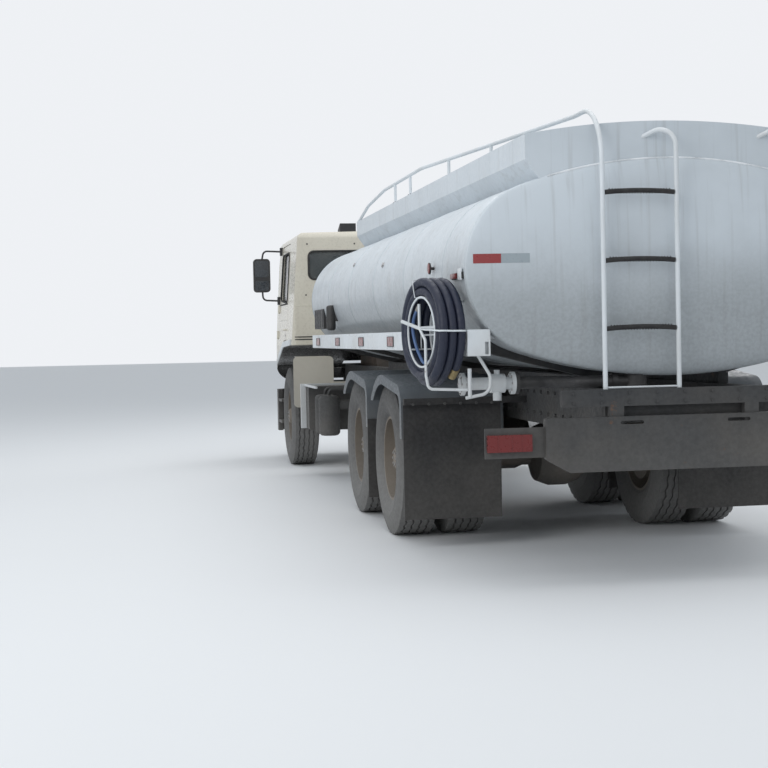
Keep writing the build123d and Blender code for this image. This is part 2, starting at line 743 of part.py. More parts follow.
# Front axle: a dropped beam with spring seats, and an eye round each kingpin
beam_depth = 90
spring_x = 470
spring_width = 76
eye_half_height = 62
eye_radius = 44
beam_profile = (
    (kingpin_x, 50), (620, 40), (520, -30), (-520, -30), (-620, 40), (-kingpin_x, 50),
    (-kingpin_x, -50), (-640, -70), (-540, -150), (540, -150), (640, -70), (kingpin_x, -50),
)
with BuildPart() as front_axle:
    for side in (1, -1):
        with BuildSketch(Plane.XY.offset(wheel_radius - eye_half_height)):
            with Locations((side * kingpin_x, front_axle_y)):
                Circle(eye_radius)
        extrude(amount=2 * eye_half_height)
        sided_box(side, (spring_x - spring_width / 2, front_axle_y - 60, wheel_radius - 35),
                  (spring_x + spring_width / 2, front_axle_y + 60, wheel_radius + 20 - seat_gap))
    with BuildSketch(section_plane(front_axle_y + beam_depth / 2, wheel_radius)) as beam:
        with BuildLine():
            Polyline(*beam_profile, close=True)
        make_face()
    extrude(beam.sketch, amount=beam_depth)
    for side in (1, -1):
        rod_between((side * kingpin_x, front_axle_y, wheel_radius - eye_half_height - 10),
                    (side * kingpin_x, front_axle_y, wheel_radius + eye_half_height + 10),
                    kingpin_radius + running_gap, mode=Mode.SUBTRACT)
save("front_axle", front_axle.part)

tie_rod_radius = 16
tie_rod_eye = 24
tie_rod_y = front_axle_y + steering_arm
tie_rod_z = wheel_radius - knuckle_drop + arm_thickness + seat_gap
with BuildPart() as tie_rod:
    rod_between((-kingpin_x + 20, tie_rod_y, tie_rod_z + tie_rod_radius),
                (kingpin_x - 20, tie_rod_y, tie_rod_z + tie_rod_radius), tie_rod_radius)
    for side in (1, -1):
        with BuildSketch(Plane.XY.offset(tie_rod_z)):
            with Locations((side * kingpin_x, tie_rod_y)):
                Circle(tie_rod_eye)
        extrude(amount=2 * tie_rod_radius)
save("tie_rod", tie_rod.part)

# Drive axles: a housing with a round centre and ends that carry the hubs, and the propeller shafts
axle_end_x = rear_wheel_x + 34
axle_tube_radius = 78
axle_tube_x = 560
bowl_radius = 225
shaft_radius = 45
shaft_z = wheel_radius + 30
nose_length = 330
gearbox_rear_y = front_axle_y + 1260
gearbox_shaft_z = 640
axle_half = ((axle_end_x, 0), (axle_end_x, axle_end_radius), (axle_tube_x + 30, axle_end_radius),
             (axle_tube_x, axle_tube_radius), (190, axle_tube_radius), (150, bowl_radius - 35), (60, bowl_radius))
with BuildPart() as drive_axles:
    for axle_y in (drive_axle_y, rear_axle_y):
        turned([*axle_half, *[(-out, radius) for out, radius in reversed(axle_half)]], 1, 0, axle_y)
        rod_between((0, axle_y - nose_length, shaft_z), (0, axle_y, shaft_z), 80)
    rod_between((0, gearbox_rear_y + seat_gap, gearbox_shaft_z), (0, gearbox_rear_y + 40, gearbox_shaft_z), 62)
    rod_between((0, gearbox_rear_y + 20, gearbox_shaft_z), (0, drive_axle_y - nose_length + 10, shaft_z), shaft_radius)
    rod_between((0, drive_axle_y, shaft_z), (0, rear_axle_y - nose_length + 10, shaft_z), shaft_radius)
save("drive_axles", drive_axles.part)

# Engine and gearbox, one plain mass on mounts between the rails
engine_half_width = 330
engine_front_y = front_axle_y - 620
engine_rear_y = front_axle_y + 480
with BuildPart() as engine_block:
    box_between((-engine_half_width, engine_front_y, 560), (engine_half_width, engine_rear_y, 1150))
    box_between((-230, engine_rear_y, 500), (230, gearbox_rear_y, 858))
    for side in (1, -1):
        sided_box(side, (engine_half_width - 30, front_axle_y + 60, rail_bottom_z + 30),
                  (rail_web_x, front_axle_y + 160, rail_bottom_z + 100))
save("engine_block", engine_block.part)

# Leaf springs with their hangers, and the bogie springs over the drive axles
leaf_half_length = 760
leaf_eye_low_z = 760
leaf_eye_top_z = rail_bottom_z - seat_gap
leaf_low_z = wheel_radius + 20
leaf_stack = 100
bogie_spring_z = wheel_radius + axle_tube_radius + seat_gap
bogie_leaf = 32
bogie_spring_reach = tandem_spacing / 2 - 50
hanger_depth = 80
hanger_top_z = rail_top_z - 140
spring_in = spring_x - spring_width / 2
spring_out = spring_x + spring_width / 2
with BuildPart() as springs:
    for side in (1, -1):
        front_end = front_axle_y - leaf_half_length
        rear_end = front_axle_y + leaf_half_length
        with BuildSketch(side_plane(side * spring_x - spring_width / 2)):
            with BuildLine():
                ThreePointArc((front_end, leaf_eye_low_z), (front_axle_y, leaf_low_z), (rear_end, leaf_eye_low_z))
                Line((rear_end, leaf_eye_low_z), (rear_end, leaf_eye_top_z))
                ThreePointArc((rear_end, leaf_eye_top_z), (front_axle_y, leaf_low_z + leaf_stack),
                              (front_end, leaf_eye_top_z))
                Line((front_end, leaf_eye_top_z), (front_end, leaf_eye_low_z))
            make_face()
        extrude(amount=spring_width)
        front_end = bogie_y - bogie_spring_reach
        rear_end = bogie_y + bogie_spring_reach
        with BuildSketch(side_plane(side * spring_x - spring_width / 2)):
            with BuildLine():
                ThreePointArc((front_end, bogie_spring_z), (bogie_y, rail_bottom_z - 80), (rear_end, bogie_spring_z))
                Line((rear_end, bogie_spring_z), (rear_end, bogie_spring_z + bogie_leaf))
                ThreePointArc((rear_end, bogie_spring_z + bogie_leaf), (bogie_y, rail_bottom_z - seat_gap),
                              (front_end, bogie_spring_z + bogie_leaf))
                Line((front_end, bogie_spring_z + bogie_leaf), (front_end, bogie_spring_z))
            make_face()
        extrude(amount=spring_width)
        for axle_y in (drive_axle_y, rear_axle_y):
            sided_box(side, (spring_in, axle_y - 60, bogie_spring_z), (spring_out, axle_y + 60, bogie_spring_z + bogie_leaf))
        sided_box(side, (mount_x, bogie_y - 70, rail_bottom_z - 70), (spring_out, bogie_y + 70, hanger_top_z))
        for hanger_y in (front_axle_y - leaf_half_length, front_axle_y + leaf_half_length):
            sided_box(side, (mount_x, hanger_y - hanger_depth / 2, leaf_eye_low_z),
                      (spring_out, hanger_y + hanger_depth / 2, hanger_top_z))
save("springs", springs.part)

# Moulded guards over each pair of twin wheels: a crowned sheet with a deep outer lip
guard_sheet = 6
guard_lip = 65
guard_in_x = 560
guard_out_x = 1228
guard_front = 440
guard_rear = 745
guard_front_z = 905
guard_rear_z = 700
guard_low_z = 300
guard_crown_z = 1092
guard_bracket_radius = 17


def guard_outline(axle_y, inset):
    """Side view of a guard, closed far below its edges."""
    return rounded_outline(
        [(axle_y - guard_front, guard_low_z), (axle_y - guard_front, guard_front_z + 20),
         (axle_y - 150, guard_crown_z + 20), (axle_y + guard_rear, guard_crown_z - 60),
         (axle_y + guard_rear, guard_low_z)],
        [0, 90, 640, 150, 0], inset,
    )


with BuildPart() as rear_mudguards:
    for side in (1, -1):
        for axle_y in (drive_axle_y, rear_axle_y):
            for low_x, high_x, depth in ((guard_in_x, guard_out_x, guard_sheet),
                                         (guard_out_x - guard_sheet, guard_out_x, guard_lip)):
                with BuildSketch(side_plane(min(side * low_x, side * high_x))) as band:
                    add(guard_outline(axle_y, 0))
                    add(guard_outline(axle_y, depth), mode=Mode.SUBTRACT)
                extrude(band.sketch, amount=high_x - low_x)
    for axle_y in (drive_axle_y, rear_axle_y):
        box_between((-guard_out_x - 1, axle_y - guard_front - 1, guard_low_z - 1),
                    (guard_out_x + 1, axle_y, guard_front_z), mode=Mode.SUBTRACT)
        box_between((-guard_out_x - 1, axle_y - 1, guard_low_z - 1),
                    (guard_out_x + 1, axle_y + guard_rear + 1, guard_rear_z), mode=Mode.SUBTRACT)
    for side in (1, -1):
        for axle_y in (drive_axle_y, rear_axle_y):
            bracket_z = guard_crown_z - guard_sheet - guard_bracket_radius
            rod_between((side * mount_x, axle_y + 100, bracket_z), (side * (guard_in_x + 120), axle_y + 100, bracket_z),
                        guard_bracket_radius)
save("rear_mudguards", rear_mudguards.part)

# Mud flaps: short ones below the first guards, long ones on a bar behind the last axle
flap_sheet = 12
flap_in_x = 595
long_flap_y = rear_axle_y + 800
long_flap_top_z = 960
long_flap_foot_z = 190
flap_bar = 40
with BuildPart() as mud_flaps:
    for side in (1, -1):
        short_flap_y = drive_axle_y + guard_rear + seat_gap
        sided_box(side, (flap_in_x, short_flap_y, long_flap_foot_z), (guard_out_x, short_flap_y + flap_sheet, guard_rear_z + 60))
        sided_box(side, (flap_in_x, long_flap_y, long_flap_foot_z), (guard_out_x, long_flap_y + flap_sheet, long_flap_top_z))
        sided_box(side, (mount_x, long_flap_y + flap_sheet, long_flap_top_z - flap_bar),
                  (guard_out_x, long_flap_y + flap_sheet + flap_bar, long_flap_top_z))
save("mud_flaps", mud_flaps.part)

# Guards behind the front wheels: a flat panel with round corners, a top leaf and a stay to the frame
panel_in_x = 820
panel_out_x = 1240
panel_y = front_axle_y + 650
panel_top_z = 1166
panel_foot_z = 640
panel_sheet = 5
leaf_reach = 300
with BuildPart() as front_mudguards:
    for side in (1, -1):
        with BuildSketch(section_plane(panel_y + panel_sheet)) as panel:
            with Locations((side * (panel_in_x + panel_out_x) / 2, (panel_top_z + panel_foot_z) / 2)):
                RectangleRounded(panel_out_x - panel_in_x, panel_top_z - panel_foot_z, 45)
        extrude(panel.sketch, amount=panel_sheet)
        sided_box(side, (panel_in_x + 45, panel_y - leaf_reach, panel_top_z - panel_sheet),
                  (panel_out_x - 45, panel_y + panel_sheet, panel_top_z))
        sided_box(side, (mount_x, panel_y, 860), (panel_in_x + 20, panel_y + 30, 900))
save("front_mudguards", front_mudguards.part)

# Rear cross panel: a shallow pan with cut corners and slots, on two posts, with the lamp plates beside it
pan_half_width = 775
pan_top_z = 905
pan_height = 290
pan_corner = 130
pan_depth = 54
pan_sheet = 6
pan_post_x = 340
pan_post_width = 80
slot_x = 300
lamp_in_x = 850
lamp_out_x = 1090
lamp_low_z = 735
lamp_top_z = 825
lamp_plate_y = tail_y - 40
pan_foot_z = pan_top_z - pan_height
pan_outline = ((pan_half_width, pan_top_z), (pan_half_width, pan_foot_z + 75), (pan_half_width - pan_corner, pan_foot_z),
               (-pan_half_width + pan_corner, pan_foot_z), (-pan_half_width, pan_foot_z + 75), (-pan_half_width, pan_top_z))
with BuildPart() as rear_panel:
    with BuildSketch(section_plane(tail_y)) as pan:
        add(rounded_outline(pan_outline, [12, 20, 20, 20, 20, 12]))
    extrude(pan.sketch, amount=pan_depth)
    with BuildSketch(section_plane(tail_y - pan_sheet)) as hollow:
        add(rounded_outline(pan_outline, [12, 20, 20, 20, 20, 12], pan_sheet))
    extrude(hollow.sketch, amount=pan_depth, mode=Mode.SUBTRACT)
    with BuildSketch(section_plane(tail_y + 1)) as slots:
        with Locations((-slot_x, pan_top_z - 32), (slot_x, pan_top_z - 32)):
            SlotOverall(130, 18)
    extrude(slots.sketch, amount=pan_sheet + 2, mode=Mode.SUBTRACT)
    for side in (1, -1):
        sided_box(side, (pan_post_x, tail_y - 15, pan_foot_z + pan_sheet), (pan_post_x + pan_post_width, tail_y - pan_sheet, pan_top_z - 60))
        sided_box(side, (pan_post_x, rail_rear_y + seat_gap, pan_foot_z + pan_sheet),
                  (pan_post_x + pan_post_width, tail_y - 15, pan_top_z + 55 - seat_gap))
        sided_box(side, (pan_half_width - 20, lamp_plate_y, lamp_low_z - 35), (lamp_out_x + 10, lamp_plate_y + 10, lamp_top_z + 35))
        sided_box(side, (pan_half_width - 20, lamp_plate_y, lamp_low_z - 35), (pan_half_width - pan_sheet, tail_y - pan_sheet, lamp_top_z + 35))
save("rear_panel", rear_panel.part)

marker_count = 4
marker_pitch = 1250
marker_length = 220
marker_height = 60
marker_setback = 438
with BuildPart() as red_lamps:
    for side in (1, -1):
        for step in range(marker_count):
            marker_y = side_rail_front_y + marker_setback + step * marker_pitch
            sided_box(side, (side_rail_x + seat_gap, marker_y - marker_length / 2, side_rail_bottom_z + 26),
                      (side_rail_x + 5, marker_y + marker_length / 2, side_rail_bottom_z + 26 + marker_height))
        sided_box(side, (lamp_in_x, lamp_plate_y + 10 + seat_gap, lamp_low_z), (lamp_out_x, tail_y - 2, lamp_top_z))
save("red_lamps", red_lamps.part)

# Discharge pipe under the tank's rear: a flanged outlet with a valve and a drain, and the black pipe from the sump
pipe_y = tank_rear_y - 222
pipe_radius = 34
pipe_z = rail_top_z + pipe_radius + 2
outlet_in_x = 844
outlet_out_x = 1150
flange_radius = 62
flange_sheet = 20
valve_radius = 52
valve_x = 940
drain_radius = 24
drain_bore = 16
drain_foot_z = pipe_z - pipe_radius - 60
drain_depth = 50
sump_x = 200
sump_y = tank_rear_y - 69
with BuildPart() as discharge_pipe:
    rod_between((outlet_in_x, pipe_y, pipe_z), (outlet_out_x, pipe_y, pipe_z), pipe_radius)
    for flange_x in (outlet_in_x, outlet_out_x - flange_sheet - 4):
        rod_between((flange_x, pipe_y, pipe_z), (flange_x + flange_sheet, pipe_y, pipe_z), flange_radius)
    rod_between((valve_x - 40, pipe_y, pipe_z), (valve_x + 40, pipe_y, pipe_z), valve_radius)
    rod_between((valve_x, pipe_y, pipe_z), (valve_x, pipe_y, pipe_z + valve_radius + 22), 16)
    rod_between((valve_x, pipe_y, drain_foot_z), (valve_x, pipe_y, pipe_z), drain_radius)
    rod_between((valve_x, pipe_y, drain_foot_z - 1), (valve_x, pipe_y, drain_foot_z + drain_depth), drain_bore,
                mode=Mode.SUBTRACT)
save("discharge_pipe", discharge_pipe.part)

coupling_radius = 52
with BuildPart() as rear_pipe:
    bent_tube([(outlet_in_x - seat_gap, pipe_y, pipe_z), (outlet_in_x - 204, pipe_y, pipe_z),
               (rail_outer_x + 70, sump_y, pipe_z), (sump_x, sump_y, pipe_z)], [110, 110], pipe_radius)
    rod_between((outlet_in_x - seat_gap - flange_sheet, pipe_y, pipe_z), (outlet_in_x - seat_gap, pipe_y, pipe_z),
                flange_radius)
    rod_between((outlet_in_x - 534, sump_y, pipe_z + 3), (outlet_in_x - 504, sump_y, pipe_z + 3), pipe_radius + 8)
    rod_between((sump_x, sump_y, pipe_z - pipe_radius), (sump_x, sump_y, pipe_z + 90), 60)
    cut_to_tank()
save("rear_pipe", rear_pipe.part)

# Hose coil on a rack of thin rods, with its valve box beside the tank
coil_centre = Vector(1285, rear_axle_y + 2050, 1375)
coil_turn = 11
coil_inner_radius = 197
coil_outer_radius = 297
coil_width = 150
coil_axis = Vector(cos(radians(coil_turn)), sin(radians(coil_turn)), 0)
coil_across = Vector(-sin(radians(coil_turn)), cos(radians(coil_turn)), 0)
coil_plane = Plane(origin=coil_centre, x_dir=(0, 0, 1), z_dir=coil_axis)
with BuildPart() as hose_coil:
    with BuildSketch(coil_plane.offset(-coil_width / 2)) as turns:
        Circle(coil_outer_radius)
        Circle(coil_inner_radius, mode=Mode.SUBTRACT)
    extrude(turns.sketch, amount=coil_width)
save("hose_coil", hose_coil.part)

rack_rod = 6
rack_ring_radius = coil_inner_radius - rack_rod - seat_gap
rack_ring_offset = 66
rack_cross_radius = 5
rack_post_radius = 4
rack_stay_radius = 6
valve_box_x = 1027
valve_box_width = 124
valve_box_length = 174
valve_box_foot_z = 1241
valve_box_height = 142
valve_box_rear_y = tank_rear_y - 6
valve_box_front_y = valve_box_rear_y - valve_box_length
bar_radius = 10
loop_radius = 8
hook_point = coil_centre + Vector(64, -43, 21)
lower_tube_y = valve_box_rear_y - 71
lower_tube_z = pipe_z - 70


def on_rack(along, angle, radius=rack_ring_radius):
    """A point on a rack ring: distance along the coil's axis, and angle up from the rear."""
    rise = Vector(0, 0, sin(radians(angle)))
    return coil_centre + coil_axis * along + (coil_across * cos(radians(angle)) + rise) * radius


with BuildPart() as hose_rack:
    for along in (-rack_ring_offset, rack_ring_offset):
        ring_top = on_rack(along, 90)
        with BuildSketch(Plane(origin=ring_top, x_dir=coil_axis, z_dir=coil_across)) as ring_section:
            Circle(rack_rod)
        revolve(ring_section.sketch, axis=Axis(coil_centre, coil_axis), revolution_arc=360)
    for angle in (90, 210, 330):
        rod_between(on_rack(-rack_ring_offset, angle), on_rack(rack_ring_offset, angle), rack_cross_radius)
    stay_top = on_rack(-rack_ring_offset, 60, rack_ring_radius - rack_rod)
    rod_between(stay_top, Vector(1080, stay_top.Y, stay_top.Z), rack_stay_radius)
    bent_tube([(valve_box_x + valve_box_width - 5, valve_box_rear_y - 120, 1376), coil_centre + Vector(-15, 55, 25),
               hook_point, coil_centre + Vector(145, -135, 62)], [60, 60], bar_radius)
    rod_between(hook_point, hook_point + Vector(0, 0, 134), loop_radius)
    bent_tube([hook_point, coil_centre + Vector(72, 155, -45), coil_centre + Vector(72, 155, -235),
               coil_centre + Vector(60, 155, -307), (1138, lower_tube_y, lower_tube_z + 44)], [30, 30, 30], loop_radius)
    bent_tube([(1081, lower_tube_y, valve_box_foot_z + 5), (1013, lower_tube_y, 1133),
               (1014, lower_tube_y, 1040), (1150, lower_tube_y, lower_tube_z)], [60, 60], loop_radius + 1)
    rod_between((1127, lower_tube_y, lower_tube_z), (1127, lower_tube_y, lower_tube_z + 158), bar_radius + 1)
    for angle in (210, 330):
        post_end = on_rack(0, angle)
        rod_between(post_end, Vector(post_end.X, post_end.Y, coil_centre.Z), rack_post_radius)
    rod_between(on_rack(0, 210) + Vector(0, 0, 80), on_rack(0, 330) + Vector(0, 0, 80), rack_cross_radius)
    box_between((valve_box_x, valve_box_front_y, valve_box_foot_z),
                (valve_box_x + valve_box_width, valve_box_rear_y, valve_box_foot_z + valve_box_height))
    box_between((valve_box_x + 8, valve_box_rear_y - 30, valve_box_foot_z + 9),
                (valve_box_x + 29, valve_box_rear_y + 1, valve_box_foot_z + 75), mode=Mode.SUBTRACT)
    box_between((valve_box_x - 97, valve_box_front_y + 23, valve_box_foot_z + 89),
                (valve_box_x + 1, valve_box_front_y + 73, valve_box_foot_z + 109))
    cut_to_tank()
save("hose_rack", hose_rack.part)

# Cab: where side, cross and plan outlines meet
arch_y = front_axle_y - 335
arch_z = cab_floor_z - 28
arch_front_y = front_axle_y - 1045
arch_front_z = cab_floor_z - 233
corner_radius = 60
front_corner_radius = 240
eaves_radius = 70
plan_half_width = cab_bottom_half_width + 7
cab_reach = 1400


def cab_side(inset=0):
    return rounded_outline(
        [
            (cab_rear_y, cab_floor_z), (arch_y, arch_z), (arch_front_y, arch_front_z),
            (cab_nose_y + 70, cab_chin_z), (cab_nose_y, cab_chin_z), (cab_nose_y, belt_z),
            (cab_nose_y + 190, cab_roof_z - 60), (cab_nose_y + 300, cab_roof_z), (cab_rear_y, cab_roof_z),
        ],
        [0, 200, 150, 50, 50, 600, 120, 100, 90], inset,
    )


def cab_cross(inset=0):
    low_z = cab_chin_z - 85
    return rounded_outline(
        [
            (-cab_bottom_half_width, low_z), (-cab_bottom_half_width, cab_floor_z), (-cab_half_width, belt_z),
            (-cab_top_half_width, cab_eaves_z), (0, cab_roof_z), (cab_top_half_width, cab_eaves_z),
            (cab_half_width, belt_z), (cab_bottom_half_width, cab_floor_z), (cab_bottom_half_width, low_z),
        ],
        [0, 0, 0, eaves_radius, 20000, eaves_radius, 0, 0, 0], inset,
    )


def cab_plan(inset=0):
    return rounded_outline(
        [
            (-plan_half_width, cab_rear_y), (-plan_half_width, cab_nose_y + corner_radius), (0, cab_nose_y),
            (plan_half_width, cab_nose_y + corner_radius), (plan_half_width, cab_rear_y),
        ],
        [corner_radius, front_corner_radius, 8000, front_corner_radius, corner_radius], inset,
    )


def cab_solid(inset=0):
    """What is left inside the cab's skin at a depth."""
    with BuildPart() as solid:
        with BuildSketch(side_plane(-cab_reach)) as outline:
            add(cab_side(inset))
        extrude(outline.sketch, amount=2 * cab_reach)
        with BuildSketch(section_plane(cab_rear_y + 10)) as outline:
            add(cab_cross(inset))
        extrude(outline.sketch, amount=2 * cab_reach, mode=Mode.INTERSECT)
        with BuildSketch() as outline:
            add(cab_plan(inset))
        extrude(outline.sketch, amount=2 * cab_reach, mode=Mode.INTERSECT)
    return solid.part


def cross_solid(inset):
    """The cab's cross outline carried along its whole length."""
    with BuildPart() as solid:
        with BuildSketch(section_plane(cab_rear_y + 10)) as outline:
            add(cab_cross(inset))
        extrude(outline.sketch, amount=2 * cab_reach)
    return solid.part


def edge_z(y):
    """Height of the cab's lower edge at a place along it."""
    if y > arch_y:
        return arch_z + (cab_floor_z - arch_z) * (y - arch_y) / (cab_rear_y - arch_y)
    return arch_front_z + (arch_z - arch_front_z) * (y - arch_front_y) / (arch_y - arch_front_y)


def skin_x(z):
    """Half width of the cab at a height."""
    if z > belt_z:
        share = (z - belt_z) / (cab_eaves_z - belt_z)
        return cab_half_width + share * (cab_top_half_width - cab_half_width)
    share = max(0, (z - cab_floor_z) / (belt_z - cab_floor_z))
    return cab_bottom_half_width + share * (cab_half_width - cab_bottom_half_width)


door_front_y = front_axle_y - 915
door_rear_y = front_axle_y - 45
door_top_z = cab_roof_z - 106
door_gap = 8
door_lift = 75
door_clear = 6
door_slope = 60


def door_outline(grow=0):
    """Side view of the door, its lower edge along the wheel arch."""
    return rounded_outline(
        [
            (door_front_y, edge_z(door_front_y) + door_lift), (arch_y, arch_z + door_lift),
            (door_rear_y, edge_z(door_rear_y) + door_lift), (door_rear_y, door_top_z),
            (door_front_y + door_slope, door_top_z), (door_front_y, belt_z + door_slope),
        ],
        [60, 200, 60, 70, 70, 300], -grow,
    )


def door_window(inset=0):
    return rounded_outline(
        [
            (door_front_y + 90, belt_z + 90), (door_rear_y - 80, belt_z + 40),
            (door_rear_y - 80, door_top_z - 90), (door_front_y + 130, door_top_z - 90),
        ],
        [60, 60, 60, 60], inset,
    )


tunnel_half_width = 480
tunnel_front_y = rail_front_y - 15
tunnel_top_z = rail_top_z + 40


def cut_frame_tunnel(grow=0):
    """The clear space under the cab for the frame rails."""
    box_between((-tunnel_half_width - grow, tunnel_front_y - grow, 0),
                (tunnel_half_width + grow, cab_rear_y + 50, tunnel_top_z + grow), mode=Mode.SUBTRACT)


cab_outside = cab_solid()
with BuildPart() as cab_hollow:
    add(cab_solid(cab_wall))
    cut_frame_tunnel(cab_wall)
cab_inside = cab_hollow.part
glass_outer = cab_solid(16)
glass_inner = cab_solid(22)
wall_inside = cross_solid(cab_wall)
door_inside = cross_solid(cab_wall - door_clear)

rear_window_z = 2120
rear_window_size = (2060, 275)
rear_window_corner = 50
windscreen_z = 2060
windscreen_size = (2060, 560)
windscreen_corner = 60
windscreen_depth = 260
grille_z = 1290
grille_size = (1500, 560)
grille_corner = 40
roof_split_z = cab_roof_z - 84
back_split_y = cab_rear_y - 64
hinge_y = door_front_y - 4
hinge_zs = (1400, 1690)
hinge_half = 32
hinge_pin = 7
hinge_barrel = 12
hinge_lug = 8
hinge_lug_gap = 5
hinge_foot_x = 1241
hinge_foot_z = 1290
hinge_lean = 0.0703


def hinge_point(side, z):
    """A point on the axis that a door turns about."""
    return (side * (hinge_foot_x - hinge_lean * (z - hinge_foot_z)), hinge_y, z)


with BuildPart() as cab_whole:
    add(cab_outside)
    cut_frame_tunnel()
    add(cab_inside, mode=Mode.SUBTRACT)
    with BuildSketch(section_plane(cab_rear_y + 20)) as opening:
        with Locations((0, rear_window_z)):
            RectangleRounded(*rear_window_size, rear_window_corner)
    extrude(opening.sketch, amount=100, mode=Mode.SUBTRACT)
    with BuildSketch(section_plane(cab_nose_y + windscreen_depth)) as opening:
        with Locations((0, windscreen_z)):
            RectangleRounded(*windscreen_size, windscreen_corner)
        with Locations((0, grille_z)):
            RectangleRounded(*grille_size, grille_corner)
    extrude(opening.sketch, amount=2 * windscreen_depth, mode=Mode.SUBTRACT)

with BuildPart() as doorways:
    for low_x in (-cab_reach, 0):
        with BuildSketch(side_plane(low_x)) as doorway:
            add(door_outline(door_gap))
        extrude(doorway.sketch, amount=cab_reach)
    add(wall_inside, mode=Mode.SUBTRACT)

with BuildPart() as cab_shell:
    add(cab_whole.part)
    add(doorways.part, mode=Mode.SUBTRACT)
    box_between((-cab_reach, cab_nose_y - 50, roof_split_z), (cab_reach, cab_rear_y + 50, cab_roof_z + 50),
                mode=Mode.SUBTRACT)
    box_between((-cab_reach, back_split_y, cab_chin_z), (cab_reach, cab_rear_y + 50, cab_roof_z + 50),
                mode=Mode.SUBTRACT)
    for side in (1, -1):
        with BuildSketch(side_plane(side * pivot_x - pivot_boss / 2)) as boss:
            with Locations((cab_pivot_y, cab_pivot_z)):
                Circle(pivot_boss_radius)
            with Locations((cab_pivot_y, cab_pivot_z + 40)):
                Rectangle(2 * pivot_boss_radius, 80)
        extrude(boss.sketch, amount=pivot_boss)
        rod_between((side * pivot_x - pivot_boss, cab_pivot_y, cab_pivot_z),
                    (side * pivot_x + pivot_boss, cab_pivot_y, cab_pivot_z),
                    cab_pin_radius + running_gap, mode=Mode.SUBTRACT)
        for hinge_z in hinge_zs:
            reach = hinge_half + hinge_lug_gap + hinge_lug
            low, high = hinge_point(side, hinge_z - reach), hinge_point(side, hinge_z + reach)
            rod_between(hinge_point(side, hinge_z - reach - 5), hinge_point(side, hinge_z + reach + 5),
                        hinge_barrel + 6, mode=Mode.SUBTRACT)
            for end_z in (hinge_z - reach, hinge_z + reach - hinge_lug):
                sided_box(side, (skin_x(end_z) - 12, hinge_y - 46, end_z),
                          (abs(low[0]) + hinge_pin, hinge_y - 1, end_z + hinge_lug))
            rod_between(low, high, hinge_pin)
save("cab_shell", cab_shell.part)

with BuildPart() as cab_panels:
    add(cab_whole.part)
    box_between((-cab_reach, cab_nose_y - 50, cab_chin_z - 50), (cab_reach, back_split_y + seat_gap, roof_split_z + seat_gap),
                mode=Mode.SUBTRACT)
    box_between((-cab_reach, back_split_y + seat_gap - 1, roof_split_z),
                (cab_reach, cab_rear_y + 50, roof_split_z + seat_gap), mode=Mode.SUBTRACT)
save("cab_panels", cab_panels.part)

with BuildPart() as wheel_arch_trims:
    for low_x in (-plan_half_width - 3, 1100):
        with BuildSketch(side_plane(low_x)) as band:
            add(cab_side())
            add(cab_side(door_lift - 15), mode=Mode.SUBTRACT)
        extrude(band.sketch, amount=plan_half_width + 3 - 1100)
    box_between((-cab_reach, arch_front_y, arch_front_z - 50), (cab_reach, back_split_y - 40, cab_floor_z + door_lift),
                mode=Mode.INTERSECT)
    add(cross_solid(-seat_gap), mode=Mode.SUBTRACT)
save("wheel_arch_trims", wheel_arch_trims.part)

with BuildPart() as cab_glass:
    with BuildSketch(section_plane(cab_rear_y + 20)) as opening:
        with Locations((0, rear_window_z)):
            RectangleRounded(rear_window_size[0] - 2 * seat_gap, rear_window_size[1] - 2 * seat_gap, rear_window_corner)
    extrude(opening.sketch, amount=100)
    with BuildSketch(section_plane(cab_nose_y + windscreen_depth)) as opening:
        with Locations((0, windscreen_z)):
            RectangleRounded(windscreen_size[0] - 2 * seat_gap, windscreen_size[1] - 2 * seat_gap, windscreen_corner)
    extrude(opening.sketch, amount=2 * windscreen_depth)
    add(glass_outer, mode=Mode.INTERSECT)
    add(glass_inner, mode=Mode.SUBTRACT)
save("cab_glass", cab_glass.part)

# Doors, hung on barrels along their front edges, each with a pull handle
door_low_x = 1000
handle_rear_y = door_rear_y - 70
handle_length = 130
handle_z = 1452
handle_out = 34
for side_name, side in (("left", 1), ("right", -1)):
    near_x = min(side * door_low_x, side * cab_reach)
    with BuildPart() as door:
        with BuildSketch(side_plane(near_x)) as outline:
            add(door_outline())
            add(door_window(), mode=Mode.SUBTRACT)
        extrude(outline.sketch, amount=cab_reach - door_low_x)
        add(cab_outside, mode=Mode.INTERSECT)
        add(door_inside, mode=Mode.SUBTRACT)
        for hinge_z in hinge_zs:
            reach = hinge_half + hinge_lug_gap + hinge_lug + 5
            rod_between(hinge_point(side, hinge_z - reach), hinge_point(side, hinge_z + reach),
                        hinge_barrel + 6, mode=Mode.SUBTRACT)
            low, high = hinge_point(side, hinge_z - hinge_half), hinge_point(side, hinge_z + hinge_half)
            rod_between(low, high, hinge_barrel)
            sided_box(side, (abs(high[0]) - 18, door_front_y, hinge_z - hinge_half),
                      (abs(high[0]) + 3, door_front_y + 60, hinge_z + hinge_half))
            rod_between(hinge_point(side, hinge_z - hinge_half - 9), hinge_point(side, hinge_z + hinge_half + 9),
                        hinge_pin + running_gap, mode=Mode.SUBTRACT)
        in_x = skin_x(handle_z) - 3
        out_x = skin_x(handle_z) + handle_out
        bent_tube([(side * in_x, handle_rear_y - handle_length, handle_z),
                   (side * out_x, handle_rear_y - handle_length, handle_z),
                   (side * out_x, handle_rear_y, handle_z), (side * in_x, handle_rear_y, handle_z)], 16, 8)
    save(f"door_{side_name}", door.part)
    with BuildPart() as door_glass:
        with BuildSketch(side_plane(near_x)) as outline:
            add(door_window(seat_gap))
        extrude(outline.sketch, amount=cab_reach - door_low_x)
        add(glass_outer, mode=Mode.INTERSECT)
        add(glass_inner, mode=Mode.SUBTRACT)
    save(f"door_glass_{side_name}", door_glass.part)

